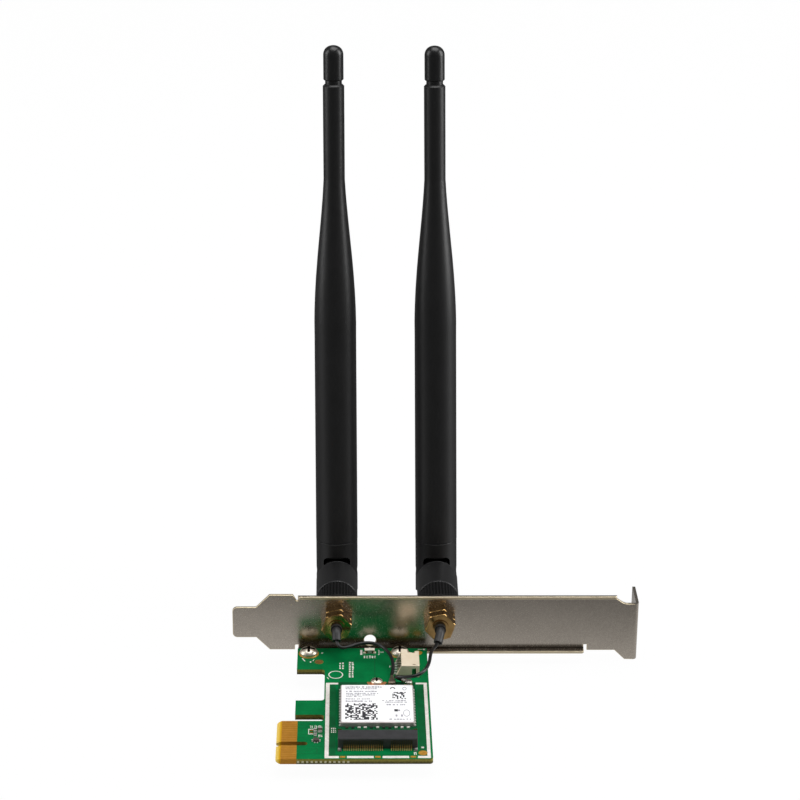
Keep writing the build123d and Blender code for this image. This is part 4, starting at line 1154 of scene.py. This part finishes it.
def paperSweep():
    # white paper: shows white to the eye; metal sees it dim, with a painted band of light brightest under the
    # bracket, and a painted shadow under the card
    low = cadBox[0][2] - 0.0002
    mesh = bmesh.new()
    ends = [mesh.verts.new((x, sweep["front"], low)) for x in (-sweep["half"], sweep["half"])]
    edge = mesh.edges.new(ends)
    grown = bmesh.ops.extrude_edge_only(mesh, edges=[edge])["geom"]
    bmesh.ops.translate(
        mesh, verts=[v for v in grown if isinstance(v, bmesh.types.BMVert)],
        vec=(0, sweep["back"] - sweep["front"], 0),
    )
    edge = [e for e in grown if isinstance(e, bmesh.types.BMEdge)]
    centre = (0, sweep["back"], low + sweep["bend"])
    bent = bmesh.ops.spin(
        mesh, geom=edge, cent=centre, axis=(1, 0, 0), angle=math.pi / 2, steps=12,
    )["geom_last"]
    edge = [e for e in bent if isinstance(e, bmesh.types.BMEdge)]
    grown = bmesh.ops.extrude_edge_only(mesh, edges=edge)["geom"]
    bmesh.ops.translate(
        mesh, verts=[v for v in grown if isinstance(v, bmesh.types.BMVert)], vec=(0, 0, sweep["top"]),
    )
    bmesh.ops.recalc_face_normals(mesh, faces=mesh.faces)
    data = bpy.data.meshes.new("paperSweep")
    mesh.to_mesh(data)
    mesh.free()
    for polygon in data.polygons:
        polygon.use_smooth = True
    stage = bpy.data.objects.new("paperSweep", data)
    bpy.context.collection.objects.link(stage)
    material = bpy.data.materials.new("whitePaper")
    material.use_nodes = True
    tree = material.node_tree
    tree.nodes.clear()
    rays = addNode(tree, "ShaderNodeLightPath")
    seen = addNode(
        tree, "ShaderNodeMath", {0: rays.outputs["Is Camera Ray"], 1: rays.outputs["Is Glossy Ray"]},
        operation="MAXIMUM",
    )
    seen = addNode(
        tree, "ShaderNodeMath", {0: seen.outputs["Value"], 1: rays.outputs["Is Transmission Ray"]},
        operation="MAXIMUM",
    )
    share = addNode(
        tree, "ShaderNodeMath", {0: seen.outputs["Value"], 1: paper["seen"]}, operation="MULTIPLY",
    )
    place = addNode(tree, "ShaderNodeTexCoord").outputs["Object"]
    # painted band of light, seen only in reflections, along Y and leaning with X
    reach = addNode(
        tree, "ShaderNodeVectorMath", {0: place, 1: (paper["lean"], 1.0, 0.0)}, operation="DOT_PRODUCT",
    )
    reach = addNode(
        tree, "ShaderNodeMapRange",
        {"Value": reach.outputs["Value"], "From Min": paper["from"], "From Max": paper["to"]},
    )
    band = addNode(tree, "ShaderNodeValToRGB", {"Fac": reach.outputs["Result"]}, stops=paper["greys"])
    spot = addNode(tree, "ShaderNodeSeparateXYZ", {"Vector": place})
    # painted shadow of the card: a dark rectangle under it, seen only in reflections
    shade = paper["shade"]
    underX = addNode(
        tree, "ShaderNodeMath", {0: spot.outputs["X"], 1: shade["middle"][0], 2: shade["half"][0]},
        operation="COMPARE",
    )
    underY = addNode(
        tree, "ShaderNodeMath", {0: spot.outputs["Y"], 1: shade["middle"][1], 2: shade["half"][1]},
        operation="COMPARE",
    )
    under = addNode(
        tree, "ShaderNodeMath", {0: underX.outputs["Value"], 1: underY.outputs["Value"]},
        operation="MULTIPLY",
    )
    dark = (shade["dark"],) * 3 + (1,)
    band = addNode(
        tree, "ShaderNodeMix", {"Factor": under.outputs["Value"], "A": band.outputs["Color"], "B": dark},
        data_type="RGBA",
    )
    bright = addNode(
        tree, "ShaderNodeMix",
        {"Factor": rays.outputs["Is Glossy Ray"], "A": (1, 1, 1, 1), "B": band.outputs["Result"]},
        data_type="RGBA",
    )
    white = addNode(tree, "ShaderNodeEmission", {"Color": bright.outputs["Result"], "Strength": 1.0})
    matt = addNode(tree, "ShaderNodeBsdfDiffuse", {"Color": (paper["matt"],) * 3 + (1,)})
    mix = addNode(
        tree, "ShaderNodeMixShader",
        {"Fac": share.outputs["Value"], 1: matt.outputs["BSDF"], 2: white.outputs["Emission"]},
    )
    addNode(tree, "ShaderNodeOutputMaterial", {"Surface": mix.outputs["Shader"]})
    data.materials.append(material)


paperSweep()

lamps = {
    "topBox": {"place": (0.1, 0.2, 1.15), "aim": (0.03, 0.04, 0.03), "size": (0.9, 0.9), "watts": 9.7},
    "leftBox": {"place": (-0.95, 0.05, 0.45), "aim": (0.03, 0.06, 0.06), "size": (0.5, 0.9), "watts": 4.8},
    "rightBox": {"place": (1.0, 0.05, 0.45), "aim": (0.03, 0.06, 0.06), "size": (0.5, 0.9), "watts": 9.0},
}
for name, lamp in lamps.items():
    data = bpy.data.lights.new(name, "AREA")
    data.shape = "RECTANGLE"
    data.size, data.size_y = lamp["size"]
    data.energy = lamp["watts"]
    light = bpy.data.objects.new(name, data)
    bpy.context.collection.objects.link(light)
    light.location = lamp["place"]
    light.rotation_euler = (Vector(lamp["aim"]) - Vector(lamp["place"])).to_track_quat("-Z", "Y").to_euler()

worldLight = {"colour": (1, 1, 1, 1), "strength": 0.16}
world = bpy.data.worlds.new("studio")
world.use_nodes = True
bpy.context.scene.world = world
background = world.node_tree.nodes["Background"]
background.inputs["Color"].default_value = worldLight["colour"]
background.inputs["Strength"].default_value = worldLight["strength"]
print("stage and lamps set")
